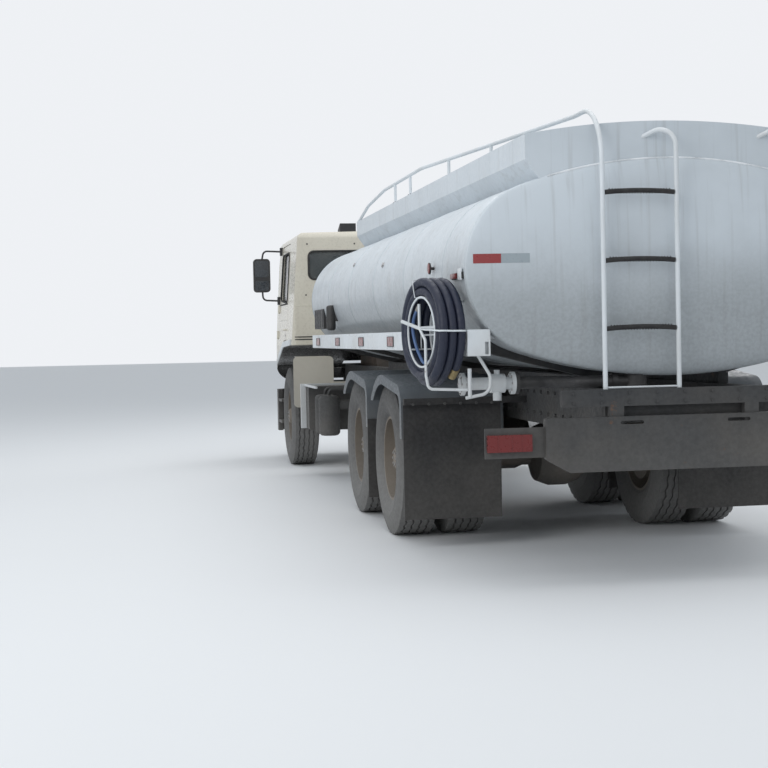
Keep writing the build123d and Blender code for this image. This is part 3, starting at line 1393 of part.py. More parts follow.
grille_bar_count = 7
grille_bar_pitch = 72
grille_slot_height = 40
with BuildPart() as grille:
    with BuildSketch(section_plane(cab_nose_y + 34, grille_z)) as panel:
        RectangleRounded(grille_size[0] - 2 * seat_gap, grille_size[1] - 2 * seat_gap, grille_corner - seat_gap)
        with GridLocations(1, grille_bar_pitch, 1, grille_bar_count):
            Rectangle(grille_size[0] - 100, grille_slot_height, mode=Mode.SUBTRACT)
    extrude(panel.sketch, amount=22)
save("grille", grille.part)

# Front bumper with headlamps, its brackets and the entry steps behind it
bumper_top_z = 775
bumper_bottom_z = 300
bumper_half_width = 1225
bumper_end_y = nose_y + 290
bumper_sweep = 60
bumper_wall = 50
lamp_bay = (800, 1080, 500, 680)
bracket_in_x = 360
bracket_out_x = 424
step_in_x = 980
step_out_x = 1222
step_length = 330
step_zs = (400, 640)
step_thickness = 30
with BuildPart() as front_bumper:
    with BuildSketch(Plane.XY.offset(bumper_bottom_z)) as ring:
        with BuildLine():
            inner_x = bumper_half_width - bumper_wall
            FilletPolyline(
                (-bumper_half_width, bumper_end_y), (-bumper_half_width, nose_y + bumper_sweep), (0, nose_y),
                (bumper_half_width, nose_y + bumper_sweep), (bumper_half_width, bumper_end_y),
                radius=[110, 400, 110],
            )
            FilletPolyline(
                (-inner_x, bumper_end_y), (-inner_x, nose_y + bumper_sweep + bumper_wall), (0, nose_y + bumper_wall),
                (inner_x, nose_y + bumper_sweep + bumper_wall), (inner_x, bumper_end_y), radius=[60, 350, 60],
            )
            Line((-bumper_half_width, bumper_end_y), (-inner_x, bumper_end_y))
            Line((bumper_half_width, bumper_end_y), (inner_x, bumper_end_y))
        make_face()
    extrude(ring.sketch, amount=bumper_top_z - bumper_bottom_z)
    for side in (1, -1):
        sided_box(side, (lamp_bay[0], nose_y - 10, lamp_bay[2]), (lamp_bay[1], nose_y + 130, lamp_bay[3]),
                  mode=Mode.SUBTRACT)
        sided_box(side, (bracket_in_x, nose_y + 45, 690), (bracket_out_x, rail_front_y + 125, 760))
        sided_box(side, (bracket_in_x, rail_front_y + 5, 750),
                  (bracket_out_x, rail_front_y + 125, rail_bottom_z - seat_gap))
        for step_z in step_zs:
            sided_box(side, (step_in_x, bumper_end_y, step_z),
                      (step_out_x, bumper_end_y + step_length, step_z + step_thickness))
        sided_box(side, (step_in_x, bumper_end_y, step_zs[0]), (step_in_x + 10, bumper_end_y + step_length, 760))
        sided_box(side, (mount_x, bumper_end_y + 100, 830), (step_in_x + 1, bumper_end_y + 160, 870))
        sided_box(side, (step_in_x - 5, bumper_end_y + 90, step_zs[1]), (step_in_x + 10, bumper_end_y + 170, 870))
save("front_bumper", front_bumper.part)

with BuildPart() as headlamps:
    for side in (1, -1):
        sided_box(side, (lamp_bay[0] + seat_gap, nose_y + 45, lamp_bay[2] + seat_gap),
                  (lamp_bay[1] - seat_gap, nose_y + 100, lamp_bay[3] - seat_gap))
save("headlamps", headlamps.part)

# Seats, dashboard and steering wheel
driver_x = 560
seat_half_width = 240
seat_front_y = front_axle_y - 185
seat_rear_y = front_axle_y + 315
cushion_z = 1560
cushion_thickness = 110
back_top_z = 2150
dash_front_y = cab_nose_y + 90
dash_rear_y = cab_nose_y + 390
dash_z = 1500
dash_top_z = 1740
wheel_centre = Vector(driver_x, front_axle_y - 775, 1760)
column_axis = Vector(0, 0.6, 0.8)
grip_circle = 225
grip_radius = 16
with BuildPart() as cab_interior:
    for seat_x in (driver_x, -driver_x):
        with BuildSketch(side_plane(seat_x - seat_half_width)) as seat:
            add(rounded_outline(
                [
                    (seat_front_y, cushion_z), (seat_rear_y - 40, cushion_z), (seat_rear_y + 60, cushion_z + 40),
                    (seat_rear_y + 100, back_top_z), (seat_rear_y, back_top_z),
                    (seat_rear_y - 20, cushion_z + cushion_thickness), (seat_front_y, cushion_z + cushion_thickness),
                ],
                [30, 20, 60, 40, 40, 40, 50],
            ))
        extrude(seat.sketch, amount=2 * seat_half_width)
        box_between((seat_x - 150, seat_front_y + 80, cab_floor_z), (seat_x + 150, seat_rear_y - 80, cushion_z + 5))
    with BuildSketch(side_plane(-cab_half_width)) as dash:
        add(rounded_outline(
            [(dash_front_y, dash_z), (dash_rear_y - 60, dash_z), (dash_rear_y, dash_z + 60),
             (dash_rear_y - 40, dash_top_z), (dash_front_y, dash_top_z)],
            [0, 30, 50, 60, 0],
        ))
    extrude(dash.sketch, amount=2 * cab_half_width)
    rod_between(wheel_centre - column_axis * 330, wheel_centre - column_axis * (40 + seat_gap), 30)
    add(cab_inside, mode=Mode.INTERSECT)
    add(door_inside, mode=Mode.INTERSECT)
save("cab_interior", cab_interior.part)

with BuildPart() as steering_wheel:
    grip_start = wheel_centre + Vector(grip_circle, 0, 0)
    with BuildSketch(Plane(origin=grip_start, x_dir=(1, 0, 0), z_dir=Vector(1, 0, 0).cross(column_axis))) as grip:
        Circle(grip_radius)
    revolve(grip.sketch, axis=Axis(wheel_centre, column_axis), revolution_arc=360)
    rod_between(wheel_centre - Vector(grip_circle, 0, 0), grip_start, 12)
    rod_between(wheel_centre - column_axis * 40, wheel_centre + column_axis * 12, 40)
save("steering_wheel", steering_wheel.part)

# Mirrors on their arms, and the vent on the roof
mirror_y = front_axle_y - 950
mirror_x = 1400
mirror_z = 2080
mirror_size = (190, 380)
mirror_corner = 40
mirror_depth = 60
arm_radius = 10
upper_arm_z = 2360
lower_arm_z = 1800
vent_x = 520
vent_length = 170
with BuildPart() as cab_fittings:
    for side in (1, -1):
        with BuildSketch(section_plane(mirror_y + mirror_depth / 2)) as face:
            with Locations((side * mirror_x, mirror_z)):
                RectangleRounded(*mirror_size, mirror_corner)
        extrude(face.sketch, amount=mirror_depth)
        bent_tube([(side * (mirror_x - 5), mirror_y, 2260), (side * (mirror_x - 25), mirror_y, upper_arm_z),
                   (side * 1150, mirror_y, upper_arm_z - 10)], [50], arm_radius)
        bent_tube([(side * (mirror_x - 5), mirror_y, 1900), (side * (mirror_x - 10), mirror_y, lower_arm_z),
                   (side * 1200, mirror_y, lower_arm_z - 10)], [50], arm_radius)
        for arm_z in (upper_arm_z - 10, lower_arm_z - 10):
            sided_box(side, (skin_x(arm_z + 45) - 5, mirror_y - 40, arm_z - 45),
                      (skin_x(arm_z) + 26, mirror_y + 25, arm_z + 45))
    with BuildSketch(side_plane(vent_x)) as vent:
        with BuildLine():
            Polyline((cab_rear_y - 60 - vent_length, cab_roof_z - 60), (cab_rear_y - 60, cab_roof_z - 60),
                     (cab_rear_y - 60, cab_roof_z + 75), (cab_rear_y - 60 - vent_length, cab_roof_z + 12), close=True)
        make_face()
    extrude(vent.sketch, amount=vent_length)
    add(cab_outside, mode=Mode.SUBTRACT)
save("cab_fittings", cab_fittings.part)

# Fittings on the tank's side: a bottle in a holder, a sign box, a small disc on a stalk and a lamp bracket
bottle_y = tank_front_y + 1414
bottle_x = tank_half_width + 12
bottle_foot_z = tank_centre_z - 286
bottle_height = 220
sign_y = tank_front_y + 179
sign_length = 640
stalk_y = tank_rear_y - 802
stalk_z = tank_centre_z + 40
tail_bracket_y = tank_rear_y - 272
with BuildPart() as tank_fittings:
    with BuildSketch(Plane.XY.offset(bottle_foot_z)) as bottle:
        with Locations((bottle_x, bottle_y)):
            Circle(40)
    extrude(bottle.sketch, amount=bottle_height)
    fillet(tank_fittings.edges().filter_by(GeomType.CIRCLE), radius=24)
    box_between((bottle_x - 72, bottle_y - 25, bottle_foot_z + 80), (bottle_x, bottle_y + 25, bottle_foot_z + 140))
    box_between((tank_half_width - 60, sign_y, bottle_foot_z + 20),
                (tank_half_width, sign_y + sign_length, bottle_foot_z + 200))
    rod_between((tank_half_width - 60, stalk_y, stalk_z), (tank_half_width + 30, stalk_y, stalk_z), 9)
    rod_between((tank_half_width + 22, stalk_y, stalk_z), (tank_half_width + 30, stalk_y, stalk_z), 34)
    box_between((tank_half_width - 40, tail_bracket_y, tank_centre_z - 50),
                (tank_half_width + 12, tail_bracket_y + 240, tank_centre_z - 15))
    cut_to_tank()
save("tank_fittings", tank_fittings.part)
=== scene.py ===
import bpy
from math import asin, atan2, cos, hypot, pi, radians, sin
from mathutils import Matrix, Vector
from mathutils.bvhtree import BVHTree
from types import SimpleNamespace as Settings


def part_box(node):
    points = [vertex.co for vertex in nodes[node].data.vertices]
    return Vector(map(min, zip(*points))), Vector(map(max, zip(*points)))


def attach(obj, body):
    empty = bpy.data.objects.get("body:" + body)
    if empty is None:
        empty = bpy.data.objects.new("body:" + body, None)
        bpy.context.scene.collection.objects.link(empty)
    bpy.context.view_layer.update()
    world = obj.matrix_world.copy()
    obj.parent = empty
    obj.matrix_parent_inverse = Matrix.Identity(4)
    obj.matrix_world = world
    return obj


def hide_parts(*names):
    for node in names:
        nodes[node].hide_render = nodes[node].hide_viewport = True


# Sizes are in metres and angles in degrees. A function that takes s reads its numbers from these settings.
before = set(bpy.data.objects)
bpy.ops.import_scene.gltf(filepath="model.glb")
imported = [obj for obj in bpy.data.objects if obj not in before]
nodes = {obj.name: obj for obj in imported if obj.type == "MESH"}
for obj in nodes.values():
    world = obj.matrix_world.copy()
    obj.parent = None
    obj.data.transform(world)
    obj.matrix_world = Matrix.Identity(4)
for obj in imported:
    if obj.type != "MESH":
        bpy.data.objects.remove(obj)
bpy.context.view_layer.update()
collection = bpy.context.scene.collection
bothSides = ((1, "left"), (-1, "right"))
print("frame loaded:", len(nodes), "nodes")


# A new object with this data, linked to the scene.
def linked(name, data):
    made = bpy.data.objects.new(name, data)
    collection.objects.link(made)
    return made


# Camera at the photograph's angle
cameraSettings = Settings(
    place=(2.9334, 12.4128, 1.3527), turns=(9.824, -1.8196, 1.1913), focalPixels=1477.57, imagePixels=768,
    sensor=36, clipEnd=500)


def makeCamera(s):
    yaw, pitch, roll = (radians(turn) for turn in s.turns)
    forward = Vector((-sin(yaw) * cos(pitch), -cos(yaw) * cos(pitch), sin(pitch)))
    level = forward.cross(Vector((0, 0, 1))).normalized()
    down = forward.cross(level)
    right = cos(roll) * level + sin(roll) * down
    lower = -sin(roll) * level + cos(roll) * down
    data = bpy.data.cameras.new("photoCamera")
    data.sensor_width = s.sensor
    data.lens = s.focalPixels / s.imagePixels * s.sensor
    data.clip_end = s.clipEnd
    camera = linked("photoCamera", data)
    turn = Matrix((right, -lower, -forward)).transposed().to_4x4()
    camera.matrix_world = Matrix.Translation(s.place) @ turn
    bpy.context.scene.camera = camera


makeCamera(cameraSettings)


# Adds nodes to a tree. An input is a value, or the socket that it is linked to.
class NodeWriter:
    def __init__(self, tree):
        self.tree = tree

    def fill(self, node, inputs):
        for key, value in inputs.items():
            socket = node.inputs[key]
            if isinstance(value, bpy.types.NodeSocket):
                self.tree.links.new(value, socket)
            else:
                socket.default_value = (*value, 1) if socket.type == "RGBA" else value
        return node

    def add(self, kind, inputs={}, **values):
        node = self.tree.nodes.new(kind)
        for key, value in values.items():
            setattr(node, key, value)
        return self.fill(node, inputs)

    def math(self, operation, a, b):
        return self.add("ShaderNodeMath", {0: a, 1: b}, operation=operation).outputs["Value"]


# Materials: a shader with its own noise, dust and painted shade, streaks and bump, all on object coordinates
class FinishTree(NodeWriter):
    def __init__(self, name):
        self.material = bpy.data.materials.new(name)
        self.material.use_nodes = True
        super().__init__(self.material.node_tree)
        self.shader = self.tree.nodes["Principled BSDF"]
        self.coords = self.add("ShaderNodeTexCoord").outputs["Object"]

    def noise(self, scale, detail=4, rough=0.55, stretch=None):
        place = self.coords
        if stretch:
            place = self.add("ShaderNodeMapping", {"Vector": place, "Scale": stretch}).outputs["Vector"]
        inputs = {"Vector": place, "Scale": scale, "Detail": detail, "Roughness": rough}
        return self.add("ShaderNodeTexNoise", inputs).outputs["Fac"]

    def remap(self, value, low, high, outLow=0.0, outHigh=1.0):
        inputs = {"Value": value, "From Min": low, "From Max": high, "To Min": outLow, "To Max": outHigh}
        return self.add("ShaderNodeMapRange", inputs, interpolation_type="SMOOTHSTEP").outputs["Result"]

    def mix(self, factor, a, b):
        return self.add("ShaderNodeMix", {0: factor, 6: a, 7: b}, data_type="RGBA").outputs[2]

    def part(self, letter, vector=None):
        return self.add("ShaderNodeSeparateXYZ", {"Vector": vector or self.coords}).outputs[letter]

    def bump(self, height, strength, distance=0.002):
        inputs = {"Height": height, "Strength": strength, "Distance": distance}
        self.set(Normal=self.add("ShaderNodeBump", inputs).outputs["Normal"])

    def set(self, **inputs):
        self.fill(self.shader, {key.replace("_", " "): value for key, value in inputs.items()})


surfaceDefaults = dict(
    dust=None, streaks=0, rust=0, underseal=None, stainScale=2.2, ragged=0.5, raggedScale=3.5,
    dustColor=(0.33, 0.31, 0.28), dustGrainScale=55, streakScale=(3, 3, 0.25), streakColor=(0.2, 0.19, 0.17),
    rustScale=9, rustColor=(0.16, 0.07, 0.03), undersealColor=(0.025, 0.024, 0.023), metal=0.0, coat=0.0,
    coatRough=0.12, glossScale=40, bumpScale=220, fine=0.4, waveScale=1.6, wave=0.6, bump=0.18,
    bumpDepth=0.004)


# Paint, plastic, rubber or metal: base colour, broad stain, dust from below (on the tank partly painted shade
# of the lower half), streaks, rust and fine grain.
def makeSurface(name, color, stainColor, stain, rough, own):
    s = Settings(**{**surfaceDefaults, **own})
    n = FinishTree(name)
    stains = n.remap(n.noise(s.stainScale, 5), 0.35, 0.75)
    color = n.mix(n.math("MULTIPLY", stains, stain), color, stainColor)
    # Colour towards the bottom: dust, and on the tank also painted shade that darkens the lower half.
    if s.dust:
        most, low, high = s.dust
        ragged = n.math("ADD", n.part("Z"), n.math("MULTIPLY", n.noise(s.raggedScale, 4), s.ragged))
        dust = n.remap(ragged, low + 0.25 * s.ragged, high + 0.5 * s.ragged, most, 0)
        grains = n.remap(n.noise(s.dustGrainScale, 3), 0.3, 0.7, 0.82, 1)
        color = n.mix(n.math("MULTIPLY", dust, grains), color, s.dustColor)
    if s.streaks:
        runs = n.remap(n.noise(6, 3, stretch=s.streakScale), 0.52, 0.74)
        color = n.mix(n.math("MULTIPLY", runs, s.streaks), color, s.streakColor)
    if s.rust:
        spots = n.remap(n.noise(s.rustScale, 8, 0.7), 0.64, 0.7)
        color = n.mix(n.math("MULTIPLY", spots, s.rust), color, s.rustColor)
    if s.underseal:
        # Black below this height, on faces that look down or back
        facing = n.add("ShaderNodeNewGeometry").outputs["True Normal"]
        hidden = n.math("MAXIMUM", n.remap(n.part("Z", facing), -0.2, -0.4),
                        n.remap(n.part("Y", facing), 0.3, 0.5))
        covered = n.math("MULTIPLY", hidden, n.remap(n.part("Z"), s.underseal + 0.01, s.underseal))
        color = n.mix(covered, color, s.undersealColor)
    gloss = n.remap(n.noise(s.glossScale, 4), 0.3, 0.7, max(rough - 0.1, 0.04), min(rough + 0.14, 1))
    n.set(Base_Color=color, Roughness=gloss, Metallic=s.metal, Coat_Weight=s.coat,
          Coat_Roughness=s.coatRough)
    height = n.math("ADD", n.math("MULTIPLY", n.noise(s.bumpScale, 3), s.fine),
                    n.math("MULTIPLY", n.noise(s.waveScale, 2), s.wave))
    n.bump(height, s.bump, s.bumpDepth)
    return n.material


# Name: colour, colour of the stains, share of the stains, roughness, and what differs from the defaults.
# Dust and shade is its most share, the height up to which it lies thick and the height where it ends.
surfaces = {
    # Tank: this band is partly dust and partly painted shade. Its dark grey-green colour makes the lower half
    # darker, where shade and the edge of the sky's reflection fall.
    "tankPaint": ((0.6, 0.65, 0.69), (0.48, 0.52, 0.55), 0.5, 0.42, dict(dust=(0.74, 1.46, 1.98), coat=0.12,
        ragged=0.24, dustColor=(0.225, 0.24, 0.245), streaks=0.18, streakScale=(5, 1.6, 0.18), wave=1.0,
        fine=0.05, bump=0.22, bumpDepth=0.012)),
    "railWhite": ((0.7, 0.74, 0.77), (0.5, 0.5, 0.48), 0.5, 0.4, dict(dust=(0.4, 0.9, 1.5), rust=0.45,
        rustScale=16, fine=0.1)),
    "cabPaint": ((0.66, 0.62, 0.52), (0.55, 0.5, 0.41), 0.4, 0.3, dict(dust=(0.32, 0.85, 1.7), coat=0.3,
        streaks=0.1, wave=0.5, fine=0.015, bump=0.08, underseal=1.275)),
    "guardPaint": ((0.5, 0.47, 0.4), (0.36, 0.33, 0.28), 0.6, 0.5, dict(dust=(0.5, 0.5, 1.3), ragged=0.4,
        fine=0.3)),
    "framePaint": ((0.028, 0.03, 0.033), (0.062, 0.057, 0.052), 0.8, 0.68, dict(dust=(0.26, 0.3, 1.3),
        rust=0.5, fine=0.5)),
    "castParts": ((0.07, 0.062, 0.055), (0.15, 0.1, 0.07), 0.8, 0.75, dict(dust=(0.5, 0.2, 1.1), rust=0.7,
        fine=0.9, bump=0.4)),
    "tyreRubber": ((0.04, 0.04, 0.041), (0.085, 0.083, 0.08), 0.7, 0.82, dict(dust=(0.68, 0.2, 1.35),
        dustColor=(0.25, 0.245, 0.235), fine=0.6, bump=0.3)),
    "rimPaint": ((0.13, 0.105, 0.08), (0.2, 0.16, 0.12), 0.8, 0.7, dict(dust=(0.45, 0.1, 1.3), rust=0.9,
        rustScale=22, fine=0.6, bump=0.35)),
    "greyPlastic": ((0.06, 0.075, 0.09), (0.1, 0.11, 0.12), 0.6, 0.5, dict(dust=(0.3, 0.6, 1.3), fine=0.6,
        bump=0.2)),
    "blackPlastic": ((0.022, 0.022, 0.024), (0.06, 0.058, 0.055), 0.7, 0.55, dict(dust=(0.35, 0.2, 1.3),
        fine=0.8, bump=0.2)),
    "blackRubber": ((0.016, 0.016, 0.017), (0.045, 0.042, 0.04), 0.8, 0.78, dict(dust=(0.16, 0.1, 1.0),
        fine=0.7, bump=0.3)),
    "hoseRubber": ((0.005, 0.009, 0.028), (0.012, 0.02, 0.045), 0.6, 0.5, dict(dust=(0.04, 0.9, 1.7),
        fine=0.6, bump=0.25)),
    "bareAluminium": ((0.62, 0.63, 0.64), (0.42, 0.42, 0.41), 0.6, 0.38, dict(dust=(0.45, 0.4, 1.1),
        metal=0.9, fine=0.2)),
    "redLens": ((0.15, 0.008, 0.007), (0.1, 0.006, 0.006), 0.4, 0.3, dict(coat=0.2, fine=0.1)),
    "tapeRed": ((0.3, 0.028, 0.03), (0.17, 0.025, 0.025), 0.6, 0.35, dict(coat=0.3, bumpScale=420, fine=0.6)),
    "tapeWhite": ((0.32, 0.37, 0.4), (0.24, 0.27, 0.29), 0.6, 0.35, dict(coat=0.3, bumpScale=420, fine=0.6)),
    # Near-white colour of the rear head's weld: a painted highlight along the edge.
    "wornWeld": ((0.84, 0.86, 0.88), (0.45, 0.48, 0.5), 0.9, 0.35,
        dict(stainScale=9, bumpScale=90, fine=1.0, bump=0.5)),
    "darkSealant": ((0.1, 0.11, 0.11), (0.2, 0.21, 0.21), 0.8, 0.7, dict(stainScale=7, fine=0.6)),
    "brass": ((0.42, 0.33, 0.17), (0.25, 0.19, 0.1), 0.8, 0.42, dict(metal=0.85, fine=0.3)),
    "zincSteel": ((0.42, 0.42, 0.42), (0.26, 0.24, 0.22), 0.8, 0.45,
        dict(metal=0.7, rust=0.6, rustScale=30, fine=0.3)),
    "seatCloth": ((0.1, 0.105, 0.12), (0.16, 0.16, 0.17), 0.6, 0.9, dict(bumpScale=500, fine=1.0, bump=0.5)),
    "blueHose": ((0.09, 0.17, 0.36), (0.07, 0.11, 0.22), 0.6, 0.4, dict(fine=0.3)),
    "mirrorFace": ((0.09, 0.095, 0.1), (0.07, 0.07, 0.072), 0.5, 0.1, dict(metal=1.0, fine=0.05, bump=0.04)),
    "plateWhite": ((0.62, 0.62, 0.58), (0.5, 0.49, 0.45), 0.6, 0.5, dict(dust=(0.4, 0.4, 1.2))),
}
finishes = {name: makeSurface(name, *given) for name, given in surfaces.items()}


# Glass with a thin film of dirt.
def makeGlass(name, color, alpha, rough, filmColor=(0.35, 0.34, 0.31)):
    n = FinishTree(name)
    film = n.remap(n.noise(3, 5), 0.35, 0.8, 0, 0.5)
    n.set(Base_Color=n.mix(film, color, filmColor), Alpha=alpha, IOR=1.5, Coat_Weight=0.5,
          Coat_Roughness=0.05, Roughness=n.remap(n.noise(20, 4), 0.3, 0.8, rough, rough + 0.15))
    n.bump(n.noise(1.5, 2), 0.03)
    n.material.surface_render_method = "DITHERED"
    return n.material


finishes["windowGlass"] = makeGlass("windowGlass", (0.03, 0.04, 0.042), 0.62, 0.05)
finishes["clearLens"] = makeGlass("clearLens", (0.6, 0.63, 0.64), 0.75, 0.1)

nodesOfFinish = {
    "tankPaint": ["tank_body", "coaming", "manways"] + [f"manway_lid_{number}" for number in (1, 2, 3)],
    "railWhite": ["guard_rail", "ladder", "side_rails", "hose_rack", "discharge_pipe", "wheel_arch_trims"],
    "framePaint": ["chassis_frame", "sub_frame", "springs", "rear_panel", "air_cylinders"],
    "castParts": ["front_axle", "drive_axles", "engine_block", "tie_rod", "knuckle_left", "knuckle_right"],
    "rimPaint": [f"{rim}_{side}" for rim in ("front_rim", "drive_rims", "rear_rims")
                 for _, side in bothSides],
    "cabPaint": ["cab_shell", "cab_panels", "door_left", "door_right"],
    "windowGlass": ["cab_glass", "door_glass_left", "door_glass_right"],
    "blackPlastic": ["rear_pipe", "battery_box", "front_bumper", "tank_fittings", "grille", "cab_fittings",
                     "steering_wheel"],
    "blackRubber": ["ladder_rungs", "mud_flaps"],
    "greyPlastic": ["rear_mudguards"],
    "guardPaint": ["front_mudguards"],
    "redLens": ["red_lamps"],
    "clearLens": ["headlamps"],
    "bareAluminium": ["fuel_tank"],
    "seatCloth": ["cab_interior"],
}
for finish, names in nodesOfFinish.items():
    for name in names:
        for slotOfNode in nodes[name].material_slots:
            slotOfNode.material = finishes[finish]
print("finishes set:", len(finishes))


# Mesh helpers
creaseAngle = 38


def newMesh(name, points, faces, finish, smooth=True, sharpAngle=creaseAngle):
    mesh = bpy.data.meshes.new(name)
    mesh.from_pydata([tuple(p) for p in points], [], faces)
    mesh.validate()
    mesh.materials.append(finishes[finish])
    mesh.polygons.foreach_set("use_smooth", [smooth] * len(mesh.polygons))
    if smooth:
        mesh.set_sharp_from_angle(angle=radians(sharpAngle))
    return linked(name, mesh)


# The evaluated object as a plain mesh object, in place of the old one.
def asPlainMesh(made, name):
    bpy.context.view_layer.update()
    evaluated = made.evaluated_get(bpy.context.evaluated_depsgraph_get())
    mesh = bpy.data.meshes.new_from_object(evaluated)
    mesh.name = name
    bpy.data.objects.remove(made)
    return linked(name, mesh)


# Joins pieces into one mesh that rides on a body.
def joinPlain(name, pieces, body="chassis"):
    points, faces, materials, smooth, picks = [], [], [], [], []
    for piece in pieces:
        base = len(points)
        offset = len(materials)
        materials += list(piece.data.materials)
        points += [tuple(v.co) for v in piece.data.vertices]
        for polygon in piece.data.polygons:
            faces.append([base + i for i in polygon.vertices])
            smooth.append(polygon.use_smooth)
            picks.append(offset + polygon.material_index)
        bpy.data.objects.remove(piece)
    mesh = bpy.data.meshes.new(name)
    mesh.from_pydata(points, [], faces)
    kept = list(dict.fromkeys(materials))
    for material in kept:
        mesh.materials.append(material)
    mesh.polygons.foreach_set("material_index", [kept.index(materials[p]) for p in picks])
    mesh.polygons.foreach_set("use_smooth", smooth)
    mesh.set_sharp_from_angle(angle=radians(creaseAngle))
    joined = linked(name, mesh)
    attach(joined, body)
    return joined


# A round tube that follows points, as a curve.
def roundCurve(name, points, radius, finish, resolution, closed=False, kind="POLY", stepsAlong=12):
    curve = bpy.data.curves.new(name, "CURVE")
    curve.dimensions = "3D"
    curve.bevel_depth = radius
    curve.bevel_resolution = resolution
    curve.resolution_u = stepsAlong
    curve.use_fill_caps = True
    spline = curve.splines.new(kind)
    spline.points.add(len(points) - 1)
    for target, point in zip(spline.points, points):
        target.co = (*point, 1)
    spline.use_cyclic_u = closed
    if kind == "NURBS":
        spline.order_u = 3
        spline.use_endpoint_u = not closed
    curve.materials.append(finishes[finish])
    return linked(name, curve)


# The same tube as a plain mesh.
def tubeAlong(name, points, radius, finish, resolution=3, closed=False, kind="POLY"):
    return asPlainMesh(roundCurve(name, points, radius, finish, resolution, closed, kind), name)


# A block with rounded edges.
def boxPiece(name, low, high, finish, bevel=0.003):
    (a, b, c), (d, e, f) = low, high
    points = [(a, b, c), (d, b, c), (d, e, c), (a, e, c), (a, b, f), (d, b, f), (d, e, f), (a, e, f)]
    faces = [(0, 3, 2, 1), (4, 5, 6, 7), (0, 1, 5, 4), (1, 2, 6, 5), (2, 3, 7, 6), (3, 0, 4, 7)]
    made = newMesh(name, points, faces, finish, smooth=False)
    rounding = made.modifiers.new("edges", "BEVEL")
    rounding.width = bevel
    rounding.segments = 2
    return asPlainMesh(made, name)


# A matrix that takes +Z to an axis at a place.
def onAxis(place, axis):
    turn = Vector((0, 0, 1)).rotation_difference(Vector(axis)).to_matrix().to_4x4()
    return Matrix.Translation(place) @ turn


# Evenly spaced angles round a circle.
def roundAngles(count):
    return [2 * pi * k / count for k in range(count)]


# A turned shape: profile rows are (distance along the axis, radius).
def turnedPiece(name, profile, place, axis, finish, steps=32):
    points = [(radius * cos(angle), radius * sin(angle), along)
              for along, radius in profile for angle in roundAngles(steps)]
    last = (len(profile) - 1) * steps
    faces = []
    for first in range(0, last, steps):
        for k in range(steps):
            m = (k + 1) % steps
            faces.append((first + k, first + m, first + steps + m, first + steps + k))
    faces.append(tuple(reversed(range(steps))))
    faces.append(tuple(last + k for k in range(steps)))
    made = newMesh(name, points, faces, finish)
    made.data.transform(onAxis(place, axis))
    return made


# Geometry Nodes: hexagon heads on a circle round +Z, half above the plane z = 0
def boltRingTree():
    tree = bpy.data.node_groups.new("boltRing", "GeometryNodeTree")
    tree.interface.new_socket("Geometry", in_out="OUTPUT", socket_type="NodeSocketGeometry")
    for label, kind in (("Count", "Int"), ("Circle", "Float"), ("Head", "Float"), ("Height", "Float"),
                        ("Finish", "Material")):
        tree.interface.new_socket(label, in_out="INPUT", socket_type=f"NodeSocket{kind}")
    w = NodeWriter(tree)
    given = w.add("NodeGroupInput").outputs
    circle = w.add("GeometryNodeMeshCircle", {"Vertices": given["Count"], "Radius": given["Circle"]})
    size = {"Vertices": 6, "Radius": given["Head"], "Depth": given["Height"]}
    head = w.add("GeometryNodeMeshCylinder", size).outputs["Mesh"]
    heads = w.add("GeometryNodeInstanceOnPoints", {"Points": circle.outputs["Mesh"], "Instance": head})
    real = w.add("GeometryNodeRealizeInstances", {"Geometry": heads.outputs["Instances"]}).outputs["Geometry"]
    painted = w.add("GeometryNodeSetMaterial", {"Geometry": real, "Material": given["Finish"]})
    w.add("NodeGroupOutput", {"Geometry": painted.outputs["Geometry"]})
    return tree


ringTree = boltRingTree()


# A ring of zinc heads as a plain mesh, standing on a place along an axis.
def boltRing(count, circle, head, height, place, axis):
    made = linked("ring", bpy.data.meshes.new("ring"))
    modifier = made.modifiers.new("boltRing", "NODES")
    modifier.node_group = ringTree
    sockets = [item.identifier for item in ringTree.interface.items_tree if item.in_out == "INPUT"]
    for socket, value in zip(sockets, (count, circle, head, height, finishes["zincSteel"])):
        modifier[socket] = value
    plain = asPlainMesh(made, "ring")
    plain.data.transform(onAxis(place, axis) @ Matrix.Translation((0, 0, height / 2)))
    return plain


# The hose: three turns side by side in two layers, on the rack
hoseSettings = Settings(
    centre=(1.285, 4.485, 1.375), turn=11, diameter=0.05, layers=2, turns=3, pointsPerTurn=18, easeSteps=5,
    outerRadius=0.272, startAngle=-60, lengthShare=0.985, overlap=0.004, coupling=((0, 0.017), (0, 0.0245),
    (0.012, 0.0255), (0.03, 0.0255), (0.034, 0.0252), (0.05, 0.0252), (0.07, 0.0252)))


# The coil's axis, and the level direction across it.
def coilAxes(s):
    turn = radians(s.turn)
    return Vector((cos(turn), sin(turn), 0)), Vector((-sin(turn), cos(turn), 0))


# The coil's control points. The spline runs inside them, so reach sets them further out.
def hosePoints(s):
    count = s.pointsPerTurn
    reach = 1 / (0.75 + 0.25 * cos(2 * pi / count))
    axis, across = coilAxes(s)
    points = []
    for k in range(s.layers * s.turns * count - 1):
        turn, step = divmod(k, count)
        layer, row = divmod(turn, s.turns)
        way = 1 if layer == 0 else -1
        ease = max(0.0, (step - (count - s.easeSteps)) / s.easeSteps)
        offset = way * (row - 1) * s.diameter
        radius = s.outerRadius - layer * s.diameter
        if row < s.turns - 1:
            offset += way * ease * s.diameter
        elif layer == 0:
            radius -= ease * s.diameter
        angle = radians(s.startAngle + 360 * k / count)
        outward = across * cos(angle) + Vector((0, 0, 1)) * sin(angle)
        points.append(Vector(s.centre) + axis * offset + outward * radius * reach)
    return points


